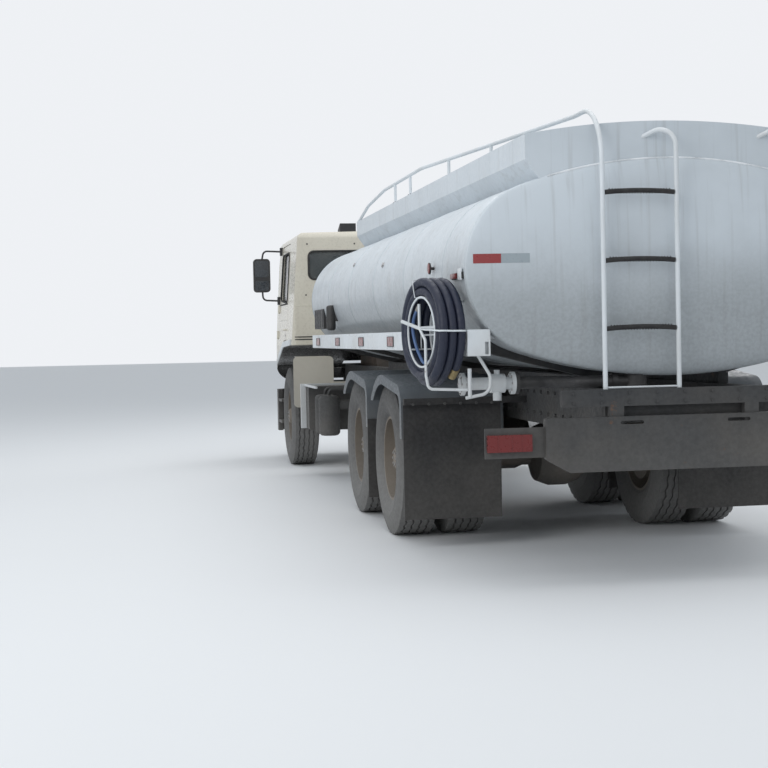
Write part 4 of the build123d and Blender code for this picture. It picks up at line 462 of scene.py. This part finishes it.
def makeHose(s):
    points = hosePoints(s)
    hose = roundCurve("deliveryHose", points, s.diameter / 2, "hoseRubber", 4, kind="NURBS", stepsAlong=4)
    ends = []
    for name, place, toward in (("hoseTailCoupling", points[0], points[1]),
                                ("hoseNozzleCoupling", points[-1], points[-2])):
        axis = (toward - place).normalized()
        ends.append(turnedPiece(name, s.coupling, place - axis * s.overlap, axis, "brass", 28))
        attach(ends[-1], "chassis")
    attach(hose, "chassis")
    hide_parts("hose_coil")


makeHose(hoseSettings)
print("hose made")

# Floor, world and lights
stageSettings = Settings(
    floorSize=160, floorColor=(0.8, 0.81, 0.82), floorStain=(0.72, 0.72, 0.71), skyColor=(0.86, 0.88, 0.91),
    fill=0.62, fillColor=(0.88, 0.94, 1.0))


def makeStage(s):
    size = s.floorSize / 2
    floor = newMesh("floor", [(-size, -size, 0), (size, -size, 0), (size, size, 0), (-size, size, 0)],
                    [(0, 1, 2, 3)], "plateWhite", smooth=False)
    n = FinishTree("floorFinish")
    n.set(Base_Color=n.mix(n.math("MULTIPLY", n.noise(0.6, 4), 0.12), s.floorColor, s.floorStain),
          Roughness=0.9)
    floor.data.materials[0] = n.material
    world = bpy.data.worlds.new("studio")
    bpy.context.scene.world = world
    world.use_nodes = True
    w = NodeWriter(world.node_tree)
    fill = w.fill(w.tree.nodes["Background"], {"Color": s.fillColor, "Strength": s.fill})
    sky = w.add("ShaderNodeBackground", {"Color": s.skyColor})
    # The sky is seen by the camera, in reflections and through glass. The fill gives all other light.
    rays = w.add("ShaderNodeLightPath").outputs
    seen = w.math("MAXIMUM", w.math("MAXIMUM", rays["Is Camera Ray"], rays["Is Glossy Ray"]),
                  rays["Is Transmission Ray"])
    mixer = w.add("ShaderNodeMixShader", {0: seen, 1: fill.outputs[0], 2: sky.outputs[0]})
    w.fill(w.tree.nodes["World Output"], {"Surface": mixer.outputs[0]})


lamps = [
    Settings(name="overhead", place=(0, 0, 9), aim=(0, 0, 1), size=(9, 15), power=470),
    Settings(name="leftRear", place=(9, 10, 6), aim=(0.4, 1.5, 1.3), size=(6, 6), power=360),
    Settings(name="rightFront", place=(-9, -11, 6), aim=(-0.4, -2, 1.3), size=(6, 6), power=280),
]


def makeLamp(s):
    data = bpy.data.lights.new(s.name, "AREA")
    data.shape = "RECTANGLE"
    data.size, data.size_y = s.size
    data.energy = s.power
    lamp = linked(s.name, data)
    turn = (Vector(s.aim) - Vector(s.place)).to_track_quat("-Z", "Y").to_matrix().to_4x4()
    lamp.matrix_world = Matrix.Translation(s.place) @ turn


makeStage(stageSettings)
for lampSettings in lamps:
    makeLamp(lampSettings)
bpy.context.scene.view_settings.view_transform = "Standard"


# Finding the surface of CAD nodes, so that every small piece sits on what carries it
def surfaceOf(*names):
    points, faces = [], []
    for name in names:
        base = len(points)
        matrix = nodes[name].matrix_world
        points += [matrix @ v.co for v in nodes[name].data.vertices]
        faces += [[base + i for i in p.vertices] for p in nodes[name].data.polygons]
    return BVHTree.FromPolygons(points, faces)


# The place and the normal where a ray meets a surface, or None and None.
def meet(surface, origin, direction):
    return surface.ray_cast(Vector(origin), Vector(direction).normalized())[:2]


# The places where rays meet a surface. Each ray is (origin, direction), and those that miss are left out.
def found(surface, rays):
    places = [meet(surface, *ray)[0] for ray in rays]
    return [place for place in places if place]


def landings(surface, origins, direction):
    return found(surface, [(origin, direction) for origin in origins])


# Points at even steps from one place to another.
def spread(start, end, count):
    a, b = Vector(start), Vector(end)
    return [a + (b - a) * i / (count - 1) for i in range(count)]


# The places where a row of parallel rays from start to end meets a surface.
def rowOn(surface, start, end, count, direction):
    return landings(surface, spread(start, end, count), direction)


# Tank: a smooth shell on the same section, with both heads evenly domed
shellSettings = Settings(
    middleZ=1.706, halfWidth=1.16, halfHeight=0.59, sideRadius=0.47, crownRadius=2.51375,
    join=(0.8487, 0.4424), ends=(-1.881, 4.819), headDepth=0.062, headRings=26, headPowers=(2.6, 0.62),
    tipScale=0.02, barrelRings=24, sideSteps=40, crownSteps=44, sharpAngle=40)


# Points (x, z) round the tank's section: two side arcs and two flat crown arcs, from the right side's foot
def tankSection(s):
    joinX, joinZ = s.join
    sideMiddle = s.halfWidth - s.sideRadius
    sideAngle = atan2(joinZ, joinX - sideMiddle)
    crownAngle = asin(joinX / s.crownRadius)
    crownMiddle = s.halfHeight - s.crownRadius
    section = []
    for way in (1, -1):
        for k in range(s.sideSteps):
            angle = -sideAngle + 2 * sideAngle * k / s.sideSteps
            section.append((way * (sideMiddle + s.sideRadius * cos(angle)),
                            way * s.sideRadius * sin(angle)))
        for k in range(s.crownSteps):
            angle = crownAngle - 2 * crownAngle * k / s.crownSteps
            section.append((way * s.crownRadius * sin(angle),
                            way * (crownMiddle + s.crownRadius * cos(angle))))
    return section


def tankShell(s):
    section = tankSection(s)
    count = len(section)
    bend, drop = s.headPowers
    front, rear = s.ends
    depth = s.headDepth
    rings = []
    for k in range(s.headRings + 1):
        scale = sin(pi / 2 * k / s.headRings) if k else s.tipScale
        rings.append((scale, front + depth - depth * (1 - scale ** bend) ** drop))
    head = list(rings)
    rings += [(1, front + depth + (rear - front - 2 * depth) * k / s.barrelRings)
              for k in range(1, s.barrelRings)]
    rings += [(scale, rear + front - y) for scale, y in reversed(head)]
    points = [(x * scale, y, s.middleZ + z * scale) for scale, y in rings for x, z in section]
    faces = []
    for first in range(0, (len(rings) - 1) * count, count):
        for k in range(count):
            m = (k + 1) % count
            faces.append((first + k, first + count + k, first + count + m, first + m))
    faces.append(tuple(range(count)))
    faces.append(tuple(reversed(range((len(rings) - 1) * count, len(rings) * count))))
    shell = newMesh("tankShell", points, faces, "tankPaint", sharpAngle=s.sharpAngle)
    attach(shell, "chassis")
    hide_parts("tank_body")
    return shell


shellObject = tankShell(shellSettings)
tankSurface = BVHTree.FromPolygons([v.co for v in shellObject.data.vertices],
                                   [list(p.vertices) for p in shellObject.data.polygons])
cabSurface = surfaceOf("cab_shell", "cab_panels")

# Weld seams round the barrel and at the heads, found by rays from an ellipse round the tank
seamSettings = Settings(
    ys=(-0.62, 0.58, 1.78, 2.98, 4.18, -1.812, 4.74), middleZ=1.706, stretch=2, reach=1.5, steps=150,
    radius=0.0035)


def tankSeams(s):
    outwards = [Vector((cos(angle) * s.stretch, 0, sin(angle))) for angle in roundAngles(s.steps)]
    pieces = []
    for y in s.ys:
        middle = Vector((0, y, s.middleZ))
        places = found(tankSurface, [(middle + outward * s.reach, -outward) for outward in outwards])
        pieces.append(tubeAlong("seam", places, s.radius, "tankPaint", 1, closed=True))
    return pieces


joinPlain("tankSeams", tankSeams(seamSettings))

# Weld between the rear head and the arched plate, painted near white as a painted highlight along that edge,
# and a dark joint under the coaming's feet:
# name, both ends (x, y), count of points, radius, finish and resolution
weldSettings = Settings(rayZ=3, rows=(
    ("crownWeld", (-0.7, 4.761), (0.7, 4.761), 91, 0.0058, "wornWeld", 2),
    ("footJoint", (0.703, -1.06), (0.703, 4.745), 41, 0.0035, "darkSealant", 1),
    ("footJoint", (-0.703, -1.06), (-0.703, 4.745), 41, 0.0035, "darkSealant", 1)))


def tankWelds(s):
    return [tubeAlong(name, rowOn(tankSurface, (*start, s.rayZ), (*end, s.rayZ), count, (0, 0, -1)), radius,
                      finish, resolution) for name, start, end, count, radius, finish, resolution in s.rows]


joinPlain("tankWelds", tankWelds(weldSettings))

# Red and white tape on both sides of the rear head: finish, nearest and furthest x
tapeSettings = Settings(
    bands=(("tapeRed", 0.97, 1.118), ("tapeWhite", 0.816, 0.97)), z=(1.732, 1.782), rayY=5.5, lift=0.0009,
    columns=18, rows=4)


def tapePieces(s):
    columns, rows = s.columns, s.rows
    lowZ, highZ = s.z
    faces = [(a, a + 1, a + rows + 2, a + rows + 1)
             for i in range(columns) for a in range(i * (rows + 1), i * (rows + 1) + rows)]
    pieces = []
    for side in (1, -1):
        for finish, *ends in s.bands:
            lowX, highX = sorted(side * x for x in ends)
            points = []
            for i in range(columns + 1):
                for j in range(rows + 1):
                    x, z = lowX + (highX - lowX) * i / columns, lowZ + (highZ - lowZ) * j / rows
                    place, normal = meet(tankSurface, (x, s.rayY, z), (0, -1, 0))
                    points.append(place + Vector((0, s.lift, 0)))
            pieces.append(newMesh("tape", points, faces, finish))
    return pieces


joinPlain("reflectiveTapes", tapePieces(tapeSettings))
print("tank details made")

# Tyres: zigzag grooves and cross cuts in the tread, plain rings on the side walls.
# The rows of a side wall are (distance from the middle, radius, depth of the cross cuts).
tyreSettings = Settings(
    steps=144, zigzag=0.006, grooves=(-0.075, -0.026, 0.026, 0.075), grooveHalf=0.006, grooveFloor=0.6,
    grooveDepth=0.014, treadRadius=0.5195, sharpAngle=30, side=((0.108, 0.288, 0), (0.113, 0.3, 0),
    (0.118, 0.303, 0), (0.124, 0.315, 0), (0.1335, 0.338, 0), (0.1355, 0.342, 0), (0.1355, 0.346, 0),
    (0.1425, 0.372, 0), (0.1468, 0.395, 0), (0.1468, 0.4, 0), (0.145, 0.404, 0), (0.143, 0.432, 0),
    (0.1385, 0.456, 0), (0.136, 0.464, 0), (0.1325, 0.478, 0), (0.1295, 0.487, 0.008),
    (0.118, 0.5195, 0.009), (0.108, 0.5195, 0.004)))


# Rows of (across, radius, share of the zigzag, depth of the cross cuts), from one bead to the other.
def tyreProfile(s):
    side = [(across, radius, 0, cut) for across, radius, cut in s.side]
    half, top = s.grooveHalf, s.treadRadius
    floorHalf, floor = half * s.grooveFloor, top - s.grooveDepth
    tread = []
    for middle in s.grooves:
        tread += [(middle - half, top, 1, 0), (middle - floorHalf, floor, 1, 0),
                  (middle + floorHalf, floor, 1, 0), (middle + half, top, 1, 0)]
    return [(-across, *rest) for across, *rest in side] + tread + side[::-1]


def tyreMesh(centre, turn, s):
    profile = tyreProfile(s)
    rows, steps = len(profile), s.steps
    points, faces = [], []
    for k in range(steps):
        angle = 2 * pi * (k + turn) / steps
        zigzag = s.zigzag * (0, 1, 0, -1)[k % 4]
        for across, radius, share, cut in profile:
            reach = radius - (cut if k % 4 == 0 else 0)
            points.append((centre[0] + across + share * zigzag, centre[1] + reach * cos(angle),
                           centre[2] + reach * sin(angle)))
        first, second = k * rows, (k + 1) % steps * rows
        faces += [(first + row, second + row, second + row + 1, first + row + 1) for row in range(rows - 1)]
    return newMesh("tyre", points, faces, "tyreRubber", sharpAngle=s.sharpAngle)


# Wheels, with the x of their tyres from the outside in. Nuts and washers are (radius, height), cap bolts are
# (count, circle, radius, height), and a valve stands at (y, z) from its wheel's middle.
wheels = [
    Settings(name="front", body="front_wheel", tyre="front_tyre", rim="front_rim", y=-3.515, xs=(1.0935,),
             hubX=1.2215, nutCircle=0.15),
    Settings(name="drive", body="drive_wheels", tyre="drive_tyres", rim="drive_rims", y=1.075,
             xs=(1.0575, 0.7175), hubX=1.1415, nutCircle=0.142),
    Settings(name="rear", body="rear_wheels", tyre="rear_tyres", rim="rear_rims", y=2.435,
             xs=(1.0575, 0.7175), hubX=1.1415, nutCircle=0.142),
]
wheelSettings = Settings(
    z=0.52, rayX=1.6, twinTurn=3.3, sunk=0.001, nuts=10, nut=(0.0155, 0.022), washer=(0.0215, 0.005),
    capBolts=(8, 0.05, 0.008, 0.008), valveAt=(0.06, 0.245), valveSunk=0.002, valve=((0, 0.0045),
    (0.03, 0.0045), (0.031, 0.0055), (0.044, 0.0055)))


def wheelDetails(wheel, side, sideName, s):
    body, y, z = f"{wheel.body}_{sideName}", wheel.y, s.z
    tyres = [tyreMesh((side * x, y, z), s.twinTurn * i, tyreSettings) for i, x in enumerate(wheel.xs)]
    joined = joinPlain(f"{wheel.name}TyresDetailed{sideName}", tyres, body)
    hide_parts(f"{wheel.tyre}_{sideName}")
    rimSurface = surfaceOf(f"{wheel.rim}_{sideName}")
    outward, inward, circle = (side, 0, 0), (-side, 0, 0), wheel.nutCircle
    face, normal = meet(rimSurface, (side * s.rayX, y + circle, z), inward)
    nutPlace = (face.x - side * s.sunk, y, z)
    pieces = [boltRing(s.nuts, circle, *head, nutPlace, outward) for head in (s.nut, s.washer)]
    pieces.append(boltRing(*s.capBolts, (side * (wheel.hubX - s.sunk), y, z), outward))
    valveY, valveZ = s.valveAt
    for place in landings(rimSurface, [(side * s.rayX, y + valveY, z + valveZ)], inward):
        pieces.append(turnedPiece("valve", s.valve, place - Vector((side * s.valveSunk, 0, 0)), outward,
                                  "brass", 12))
    joinPlain(f"{wheel.name}WheelNuts{sideName}", pieces, body)


for wheel in wheels:
    for side, sideName in bothSides:
        wheelDetails(wheel, side, sideName, wheelSettings)
print("wheels made")

# Bolts are (count, circle, head radius, head height). Flanges face along x, to the left or to the right.
flangeSettings = Settings(
    faces=((0.8635, 1), (1.1455, 1), (1.1265, -1)), y=4.535, z=1.086, bolts=(8, 0.052, 0.006, 0.006))
manwaySettings = Settings(
    ys=(-0.176, 1.724, 3.624), boltZ=2.3695, bolts=(16, 0.252, 0.008, 0.007), mouthZ=2.297,
    mouth=((0, 0.2355), (0.004, 0.2355)))


def flangeBolts(s):
    return [boltRing(*s.bolts, (x, s.y, s.z), (way, 0, 0)) for x, way in s.faces]


# Bolts on the lids, and a black disc in each neck as painted shade: the dark inside of the tank, which an
# open lid shows.
def manwayPieces(s):
    up = (0, 0, 1)
    for number, y in enumerate(s.ys, 1):
        joinPlain(f"lidBolts{number}", [boltRing(*s.bolts, (0, y, s.boltZ), up)], f"manway_lid_{number}")
    shadeDiscs = [turnedPiece("mouth", s.mouth, (0, y, s.mouthZ), up, "blackPlastic", 48) for y in s.ys]
    joinPlain("manwayShadeDiscs", shadeDiscs)


joinPlain("flangeBolts", flangeBolts(flangeSettings))
manwayPieces(manwaySettings)

# Small heads on washers. Facing is how squarely a ray has to meet the surface.
headShape = Settings(sunk=0.002, washerHeight=0.0015, step=0.0001, washer=1.25, top=0.92, facing=0.7)


# Heads where rays meet a node.
def headsOn(name, node, origins, direction, radius, height, finish="framePaint", body="chassis", sides=6):
    s = headShape
    profile = [(-s.sunk, radius * s.washer), (s.washerHeight, radius * s.washer),
               (s.washerHeight + s.step, radius), (height, radius * s.top)]
    surface = surfaceOf(node)
    pieces = []
    for origin in origins:
        place, normal = meet(surface, origin, direction)
        if place and normal.dot(Vector(direction).normalized()) < -s.facing:
            pieces.append(turnedPiece("head", profile, place, normal, finish, sides))
    joinPlain(name, pieces, body)


# Rows on the left side, which the right side mirrors: name, node, rows of rays (start, end, count), direction
# of the rays, then the head's radius, height, finish, body and sides where they aren't the usual ones.
sideRows = [
    *[("railBolts" + row, "chassis_frame", [((0.6, -1.9, z), (0.6, 4.7, z), 44)], (-1, 0, 0), 0.01, 0.011)
      for row, z in (("Upper", 0.995), ("Lower", 0.865))],
    ("sideRailRivets", "side_rails", [((1.4, -1.38, z), (1.4, 3.42, z), 25) for z in (1.366, 1.279)],
     (-1, 0, 0), 0.005, 0.003, "railWhite", "chassis", 10),
    ("flapBolts", "mud_flaps", [((0.66, 5.2, 0.925), (1.17, 5.2, 0.925), 6)], (0, -1, 0), 0.009, 0.008),
    ("guardFeetBolts", "coaming", [((0.812, y, 2.9), (0.812, y + 0.08, 2.9), 2) for y in (0.795, 1.425)],
     (0, 0, -1), 0.006, 0.006),
]
for side, sideName in bothSides:
    for name, node, rows, (x, y, z), *head in sideRows:
        origins = [(side * place.x, place.y, place.z) for row in rows for place in spread(*row)]
        headsOn(name + sideName, node, origins, (side * x, y, z), *head)
headsOn("tailChannelBolts", "chassis_frame",
        [place for z in (1.03, 0.98) for place in spread((-0.62, 5.2, z), (0.62, 5.2, z), 9)],
        (0, -1, 0), 0.008, 0.007)
headsOn("cabBackScrews", "cab_panels",
        [(side * x, -2.5, z) for side in (1, -1)
         for x, z in ((1.051, 2.343), (1.073, 1.81), (0.55, 2.343), (0.55, 1.8))],
        (0, -1, 0), 0.007, 0.005, "blackPlastic", "cab", 12)


# Points (x, z) round a rectangle with rounded corners.
def roundedOutline(middleZ, width, height, corner, steps=6, straight=14):
    outline = []
    for cx, cz, start in ((1, 1, 0), (-1, 1, 90), (-1, -1, 180), (1, -1, 270)):
        for k in range(steps + 1):
            angle = radians(start + 90 * k / steps)
            outline.append((cx * (width / 2 - corner) + corner * cos(angle),
                            middleZ + cz * (height / 2 - corner) + corner * sin(angle)))
    full = []
    for (x0, z0), (x1, z1) in zip(outline, outline[1:] + outline[:1]):
        count = straight if hypot(x1 - x0, z1 - z0) > 3 * corner else 1
        full += [(x0 + (x1 - x0) * k / count, z0 + (z1 - z0) * k / count) for k in range(count)]
    return full


# Cab windows: height of the middle, width, height and corner, and the rays that find the cab's skin
windows = [
    Settings(shape=(2.12, 2.06, 0.275, 0.05), rayY=-2.4, way=-1),
    Settings(shape=(2.06, 2.06, 0.56, 0.06), rayY=-5.6, way=1),
]


def windowRubber(window, radius=0.01):
    middleZ, width, height, corner = window.shape
    outline = roundedOutline(middleZ, width + 2 * radius, height + 2 * radius, corner + radius)
    places = landings(cabSurface, [(x, window.rayY, z) for x, z in outline], (0, window.way, 0))
    return tubeAlong("rubber", places, radius, "blackRubber", 2, closed=True)


joinPlain("windowRubbers", [windowRubber(window) for window in windows], "cab")

# Mouldings across the back of the cab: height, radius and finish
trimSettings = Settings(
    lines=((1.345, 0.006, "blackRubber"), (1.372, 0.006, "blackRubber"), (1.7, 0.004, "cabPaint")),
    halfX=1.2, count=49, rayY=-2.4, foremostY=-3.1)


def trimLines(s):
    pieces = []
    for z, radius, finish in s.lines:
        places = rowOn(cabSurface, (-s.halfX, s.rayY, z), (s.halfX, s.rayY, z), s.count, (0, -1, 0))
        kept = [place for place in places if place.y > s.foremostY]
        pieces.append(tubeAlong("trim", kept, radius, finish, 2))
    return pieces


joinPlain("cabTrimLines", trimLines(trimSettings), "cab")

wiperSettings = Settings(
    xs=(0.15, -0.15, 0.78), sweep=0.42, rayY=-5.6, footZ=1.745, tipZ=1.8, pivot=((-0.004, 0.014),
    (0.014, 0.014), (0.018, 0.009)), lift=(0, -0.016, 0), middleLift=1.2, bladeLift=0.8, bladeRise=0.012,
    bladeBend=0.02, bladeXs=(-0.27, -0.13, 0, 0.13, 0.27), armRadius=0.0055, bladeRadius=0.0065)


def wiper(footX, s):
    foot, normal = meet(cabSurface, (footX, s.rayY, s.footZ), (0, 1, 0))
    tip, normal = meet(cabSurface, (footX - s.sweep, s.rayY, s.tipZ), (0, 1, 0))
    lift = Vector(s.lift)
    arm = [foot + lift, (foot + tip) / 2 + lift * s.middleLift, tip + lift]
    blade = [tip + lift * s.bladeLift + Vector((x, 0, s.bladeRise + s.bladeBend * abs(x)))
             for x in s.bladeXs]
    return [turnedPiece("pivot", s.pivot, foot, (0, -1, 0), "blackPlastic", 16),
            tubeAlong("arm", arm, s.armRadius, "blackPlastic"),
            tubeAlong("blade", blade, s.bladeRadius, "blackRubber")]


joinPlain("wipers", [piece for x in wiperSettings.xs for piece in wiper(x, wiperSettings)], "cab")

# Mirror faces: height of the middle, width and height
mirrorSettings = Settings(
    faces=((2.155, 0.155, 0.185), (1.965, 0.155, 0.115)), x=1.4, corner=0.025, ys=(-4.4345, -4.4405))


def mirrorFaces(s):
    pieces = []
    for side in (1, -1):
        for middleZ, width, height in s.faces:
            outline = roundedOutline(middleZ, width, height, s.corner, 5, 1)
            points = [(side * s.x + x, y, z) for y in s.ys for x, z in outline]
            count = len(outline)
            faces = [tuple(reversed(range(count)))]
            faces += [(k, (k + 1) % count, count + (k + 1) % count, count + k) for k in range(count)]
            pieces.append(newMesh("mirrorFace", points, faces, "mirrorFace"))
    return pieces


joinPlain("mirrorFaces", mirrorFaces(mirrorSettings), "cab")

# Doors: the seal round the glass, the keyhole at (y, z), and the sill's rubber and the crease of the leaf as
# lines (first y, last y, z, depth in the leaf, radius, finish)
doorSettings = Settings(
    rayX=1.6, sealRays=96, sealFrom=0.1, sealTo=0.6, sealStep=0.003, leafX=1.1, sealRadius=0.01,
    keyholeAt=(-3.7, 1.395), keyhole=((-0.003, 0.016), (0.003, 0.016), (0.004, 0.013)), linePoints=21,
    lines=((-4.36, -3.62, 1.735, 0, 0.008, "blackRubber"), (-4.4, -3.58, 1.56, 0.002, 0.005, "cabPaint")))


# The first place outwards from the glass's middle where a ray meets the outer skin of the leaf.
def sealPlace(door, side, middleY, middleZ, angle, s):
    reach = s.sealFrom
    while reach < s.sealTo:
        reach += s.sealStep
        y, z = middleY + reach * cos(angle), middleZ + reach * sin(angle)
        place, normal = meet(door, (side * s.rayX, y, z), (-side, 0, 0))
        if place and abs(place.x) >= s.leafX:
            return place
    return None


def doorPieces(side, sideName, s):
    door = surfaceOf(f"door_{sideName}")
    low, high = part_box(f"door_glass_{sideName}")
    middleY, middleZ = (low.y + high.y) / 2, (low.z + high.z) / 2
    places = [sealPlace(door, side, middleY, middleZ, angle, s) for angle in roundAngles(s.sealRays)]
    seal = [place for place in places if place]
    pieces = [tubeAlong("seal", seal, s.sealRadius, "blackRubber", 2, closed=True)]
    inward, rayX = (-side, 0, 0), side * s.rayX
    place, normal = meet(door, (rayX, *s.keyholeAt), inward)
    pieces.append(turnedPiece("keyhole", s.keyhole, place, normal, "zincSteel", 20))
    for startY, endY, z, sunk, radius, finish in s.lines:
        places = rowOn(door, (rayX, startY, z), (rayX, endY, z), s.linePoints, inward)
        line = [place - Vector((side * sunk, 0, 0)) for place in places]
        pieces.append(tubeAlong("line", line, radius, finish, 2))
    joinPlain(f"doorTrim{sideName}", pieces, f"door_{sideName}")


for side, sideName in bothSides:
    doorPieces(side, sideName, doorSettings)

# Rings round the headlamps, and ribs on the tail lamps
headlampSettings = Settings(
    xs=(0.875, 1.005), rayY=-5.4, z=0.59, ring=((-0.004, 0.062), (0.002, 0.062), (0.003, 0.057),
    (0.0012, 0.054)))
ribSettings = Settings(
    xs=(0.905, 0.96, 1.035), rayY=5.4, z=0.78, halfWidth=0.002, depth=0.004, proud=0.0015,
    ends=(0.738, 0.822), bevel=0.0008)


# Where level rays, one at each x on both sides, meet a surface.
def lampPlaces(surface, s, way):
    rays = [(side * x, s.rayY, s.z) for side in (1, -1) for x in s.xs]
    return landings(surface, rays, (0, way, 0))


def lampRings(s):
    return [turnedPiece("lampRing", s.ring, place, (0, -1, 0), "bareAluminium", 36)
            for place in lampPlaces(surfaceOf("front_bumper", "headlamps"), s, 1)]


def lampRibs(s):
    low, high = s.ends
    return [boxPiece("rib", (place.x - s.halfWidth, place.y - s.depth, low),
                     (place.x + s.halfWidth, place.y + s.proud, high), "redLens", s.bevel)
            for place in lampPlaces(surfaceOf("red_lamps"), s, -1)]


joinPlain("lampRings", lampRings(headlampSettings))
joinPlain("rearPanelPieces", lampRibs(ribSettings))

# Rings round the ladder's rungs, for grip
gripSettings = Settings(
    zs=(1.372, 1.734, 2.096), xs=(0.06, 0.395), count=22, rayY=5.3, rayLift=0.004, middleBack=0.0128,
    middleLift=0.006, ringRadius=0.0134, ringSteps=12, radius=0.0018)


def rungGrips(s):
    surface = surfaceOf("ladder_rungs")
    around = [s.ringRadius * Vector((0, cos(angle), sin(angle)))
              for angle in roundAngles(s.ringSteps)]
    firstX, lastX = s.xs
    pieces = []
    for z in s.zs:
        rayZ = z + s.rayLift
        for place in rowOn(surface, (firstX, s.rayY, rayZ), (lastX, s.rayY, rayZ), s.count, (0, -1, 0)):
            middle = Vector((place.x, place.y - s.middleBack, z + s.middleLift))
            ring = [middle + arm for arm in around]
            pieces.append(tubeAlong("grip", ring, s.radius, "blackRubber", 1, closed=True))
    return pieces


joinPlain("rungGrips", rungGrips(gripSettings))

# Side of the tank: dark bars on the sign box, and rims round the marker lamps of both side rails
signSettings = Settings(
    ys=(-1.56, -1.4, -1.24, -1.08), rayX=1.5, rayZ=1.53, halfWidth=0.018, depth=0.004, proud=0.003,
    ends=(1.452, 1.608), bevel=0.001)
rimSettings = Settings(
    ys=(-0.995, 0.255, 1.505, 2.755), x=1.2135, z=1.321, half=(0.112, 0.032), radius=0.0035)


def signBars(s):
    low, high = s.ends
    places = landings(surfaceOf("tank_fittings"), [(s.rayX, y, s.rayZ) for y in s.ys], (-1, 0, 0))
    return [boxPiece("signBar", (place.x - s.depth, place.y - s.halfWidth, low),
                     (place.x + s.proud, place.y + s.halfWidth, high), "blackPlastic", s.bevel)
            for place in places]


def lampRims(s):
    halfY, halfZ = s.half
    pieces = []
    for y in s.ys:
        for side in (1, -1):
            outline = [Vector((side * s.x, y + a * halfY, s.z + b * halfZ))
                       for a, b in ((-1, -1), (1, -1), (1, 1), (-1, 1))]
            pieces.append(tubeAlong("lampRim", outline, s.radius, "blackPlastic", 1, closed=True))
    return pieces


joinPlain("tankSidePieces", signBars(signSettings) + lampRims(rimSettings))
headsOn("tankStubs", "tank_body", [(1.6, 0.55, 1.94), (1.6, 2.1, 1.86)], (-1, 0, 0), 0.018, 0.012,
        "zincSteel", sides=4)

# Round reflector on its stalk, with a back, and side marker lamp with its white plate
signalSettings = Settings(
    disc=(1.1895, 3.955, 1.746), discProfile=((-0.001, 0.031), (0.003, 0.031), (0.0042, 0.028),
    (0.0048, 0.0155)), back=(1.1823, 3.955, 1.746), backProfile=((-0.001, 0.031), (0.002, 0.029)),
    lamp=((1.168, 4.492, 1.659), (1.184, 4.615, 1.688)), lampBevel=0.004, plate=((1.168, 4.64, 1.65),
    (1.175, 4.722, 1.712)), plateBevel=0.0012)


def signalPieces(s):
    return [turnedPiece("disc", s.discProfile, s.disc, (1, 0, 0), "redLens", 32),
            turnedPiece("discBack", s.backProfile, s.back, (-1, 0, 0), "redLens", 32),
            boxPiece("lamp", *s.lamp, "redLens", s.lampBevel),
            boxPiece("plate", *s.plate, "railWhite", s.plateBevel)]


joinPlain("sideSignals", signalPieces(signalSettings))

# Hose rack: a clamp bar across the coil, a tie on its top, and the thin blue hose tucked inside. The bar's
# points are (along the coil's axis, radius, angle), and the tie's are (along, radius).
rackSettings = Settings(
    barEnds=((1.349, 4.442, 1.396), (1.15, 4.7, 1.3765)), barRadius=0.005, bar=((0.083, 0.06, 12),
    (0.084, 0.19, 3), (0.084, 0.285, 1), (0.07, 0.304, 1), (0.0, 0.304, 0.5), (-0.075, 0.304, 0.5)),
    tie=((0.0, 0.3005), (0.06, 0.3005), (0.0775, 0.296), (0.0785, 0.25), (0.0775, 0.199), (0.06, 0.1945),
    (-0.06, 0.1945), (-0.0775, 0.199), (-0.0785, 0.25), (-0.0775, 0.296), (-0.06, 0.3005)), tieAngle=107,
    tieRadius=0.0028, blueAngles=(132, 300), bluePoints=13, blueAlong=0.04, blueSway=0.008, blueSwayPace=0.7,
    blueRing=0.1745, blueSag=0.004, blueSagPace=1.1, blueRadius=0.009, blueEnd=((-0.012, 0.0098),
    (0.016, 0.0098), (0.018, 0.008), (0.026, 0.008)))


# A place on the coil, by its distance along the axis, its radius and its angle.
def coilPlace(along, radius, angle):
    axis, across = coilAxes(hoseSettings)
    turned = radians(angle)
    return (Vector(hoseSettings.centre) + axis * along + across * radius * cos(turned)
            + Vector((0, 0, radius * sin(turned))))


def rackPieces(s):
    first, last = (Vector(end) for end in s.barEnds)
    bar = [first] + [coilPlace(*point) for point in s.bar] + [last]
    tie = [coilPlace(along, radius, s.tieAngle) for along, radius in s.tie]
    start, end = s.blueAngles
    blue = []
    for k in range(s.bluePoints):
        along = s.blueAlong + s.blueSway * sin(k * s.blueSwayPace)
        radius = s.blueRing - s.blueSag * sin(k * s.blueSagPace) ** 2
        blue.append(coilPlace(along, radius, start + (end - start) * k / (s.bluePoints - 1)))
    pieces = [tubeAlong("clampBar", bar, s.barRadius, "railWhite", 3, kind="NURBS"),
              tubeAlong("tie", tie, s.tieRadius, "railWhite", 2, closed=True),
              tubeAlong("thinBlueHose", blue, s.blueRadius, "blueHose", 3, kind="NURBS")]
    for place, toward in ((blue[0], blue[1]), (blue[-1], blue[-2])):
        axis = (place - toward).normalized()
        pieces.append(turnedPiece("blueEnd", s.blueEnd, place, axis, "zincSteel", 20))
    return pieces


joinPlain("hoseRackPieces", rackPieces(rackSettings))
print("rear and side details made")
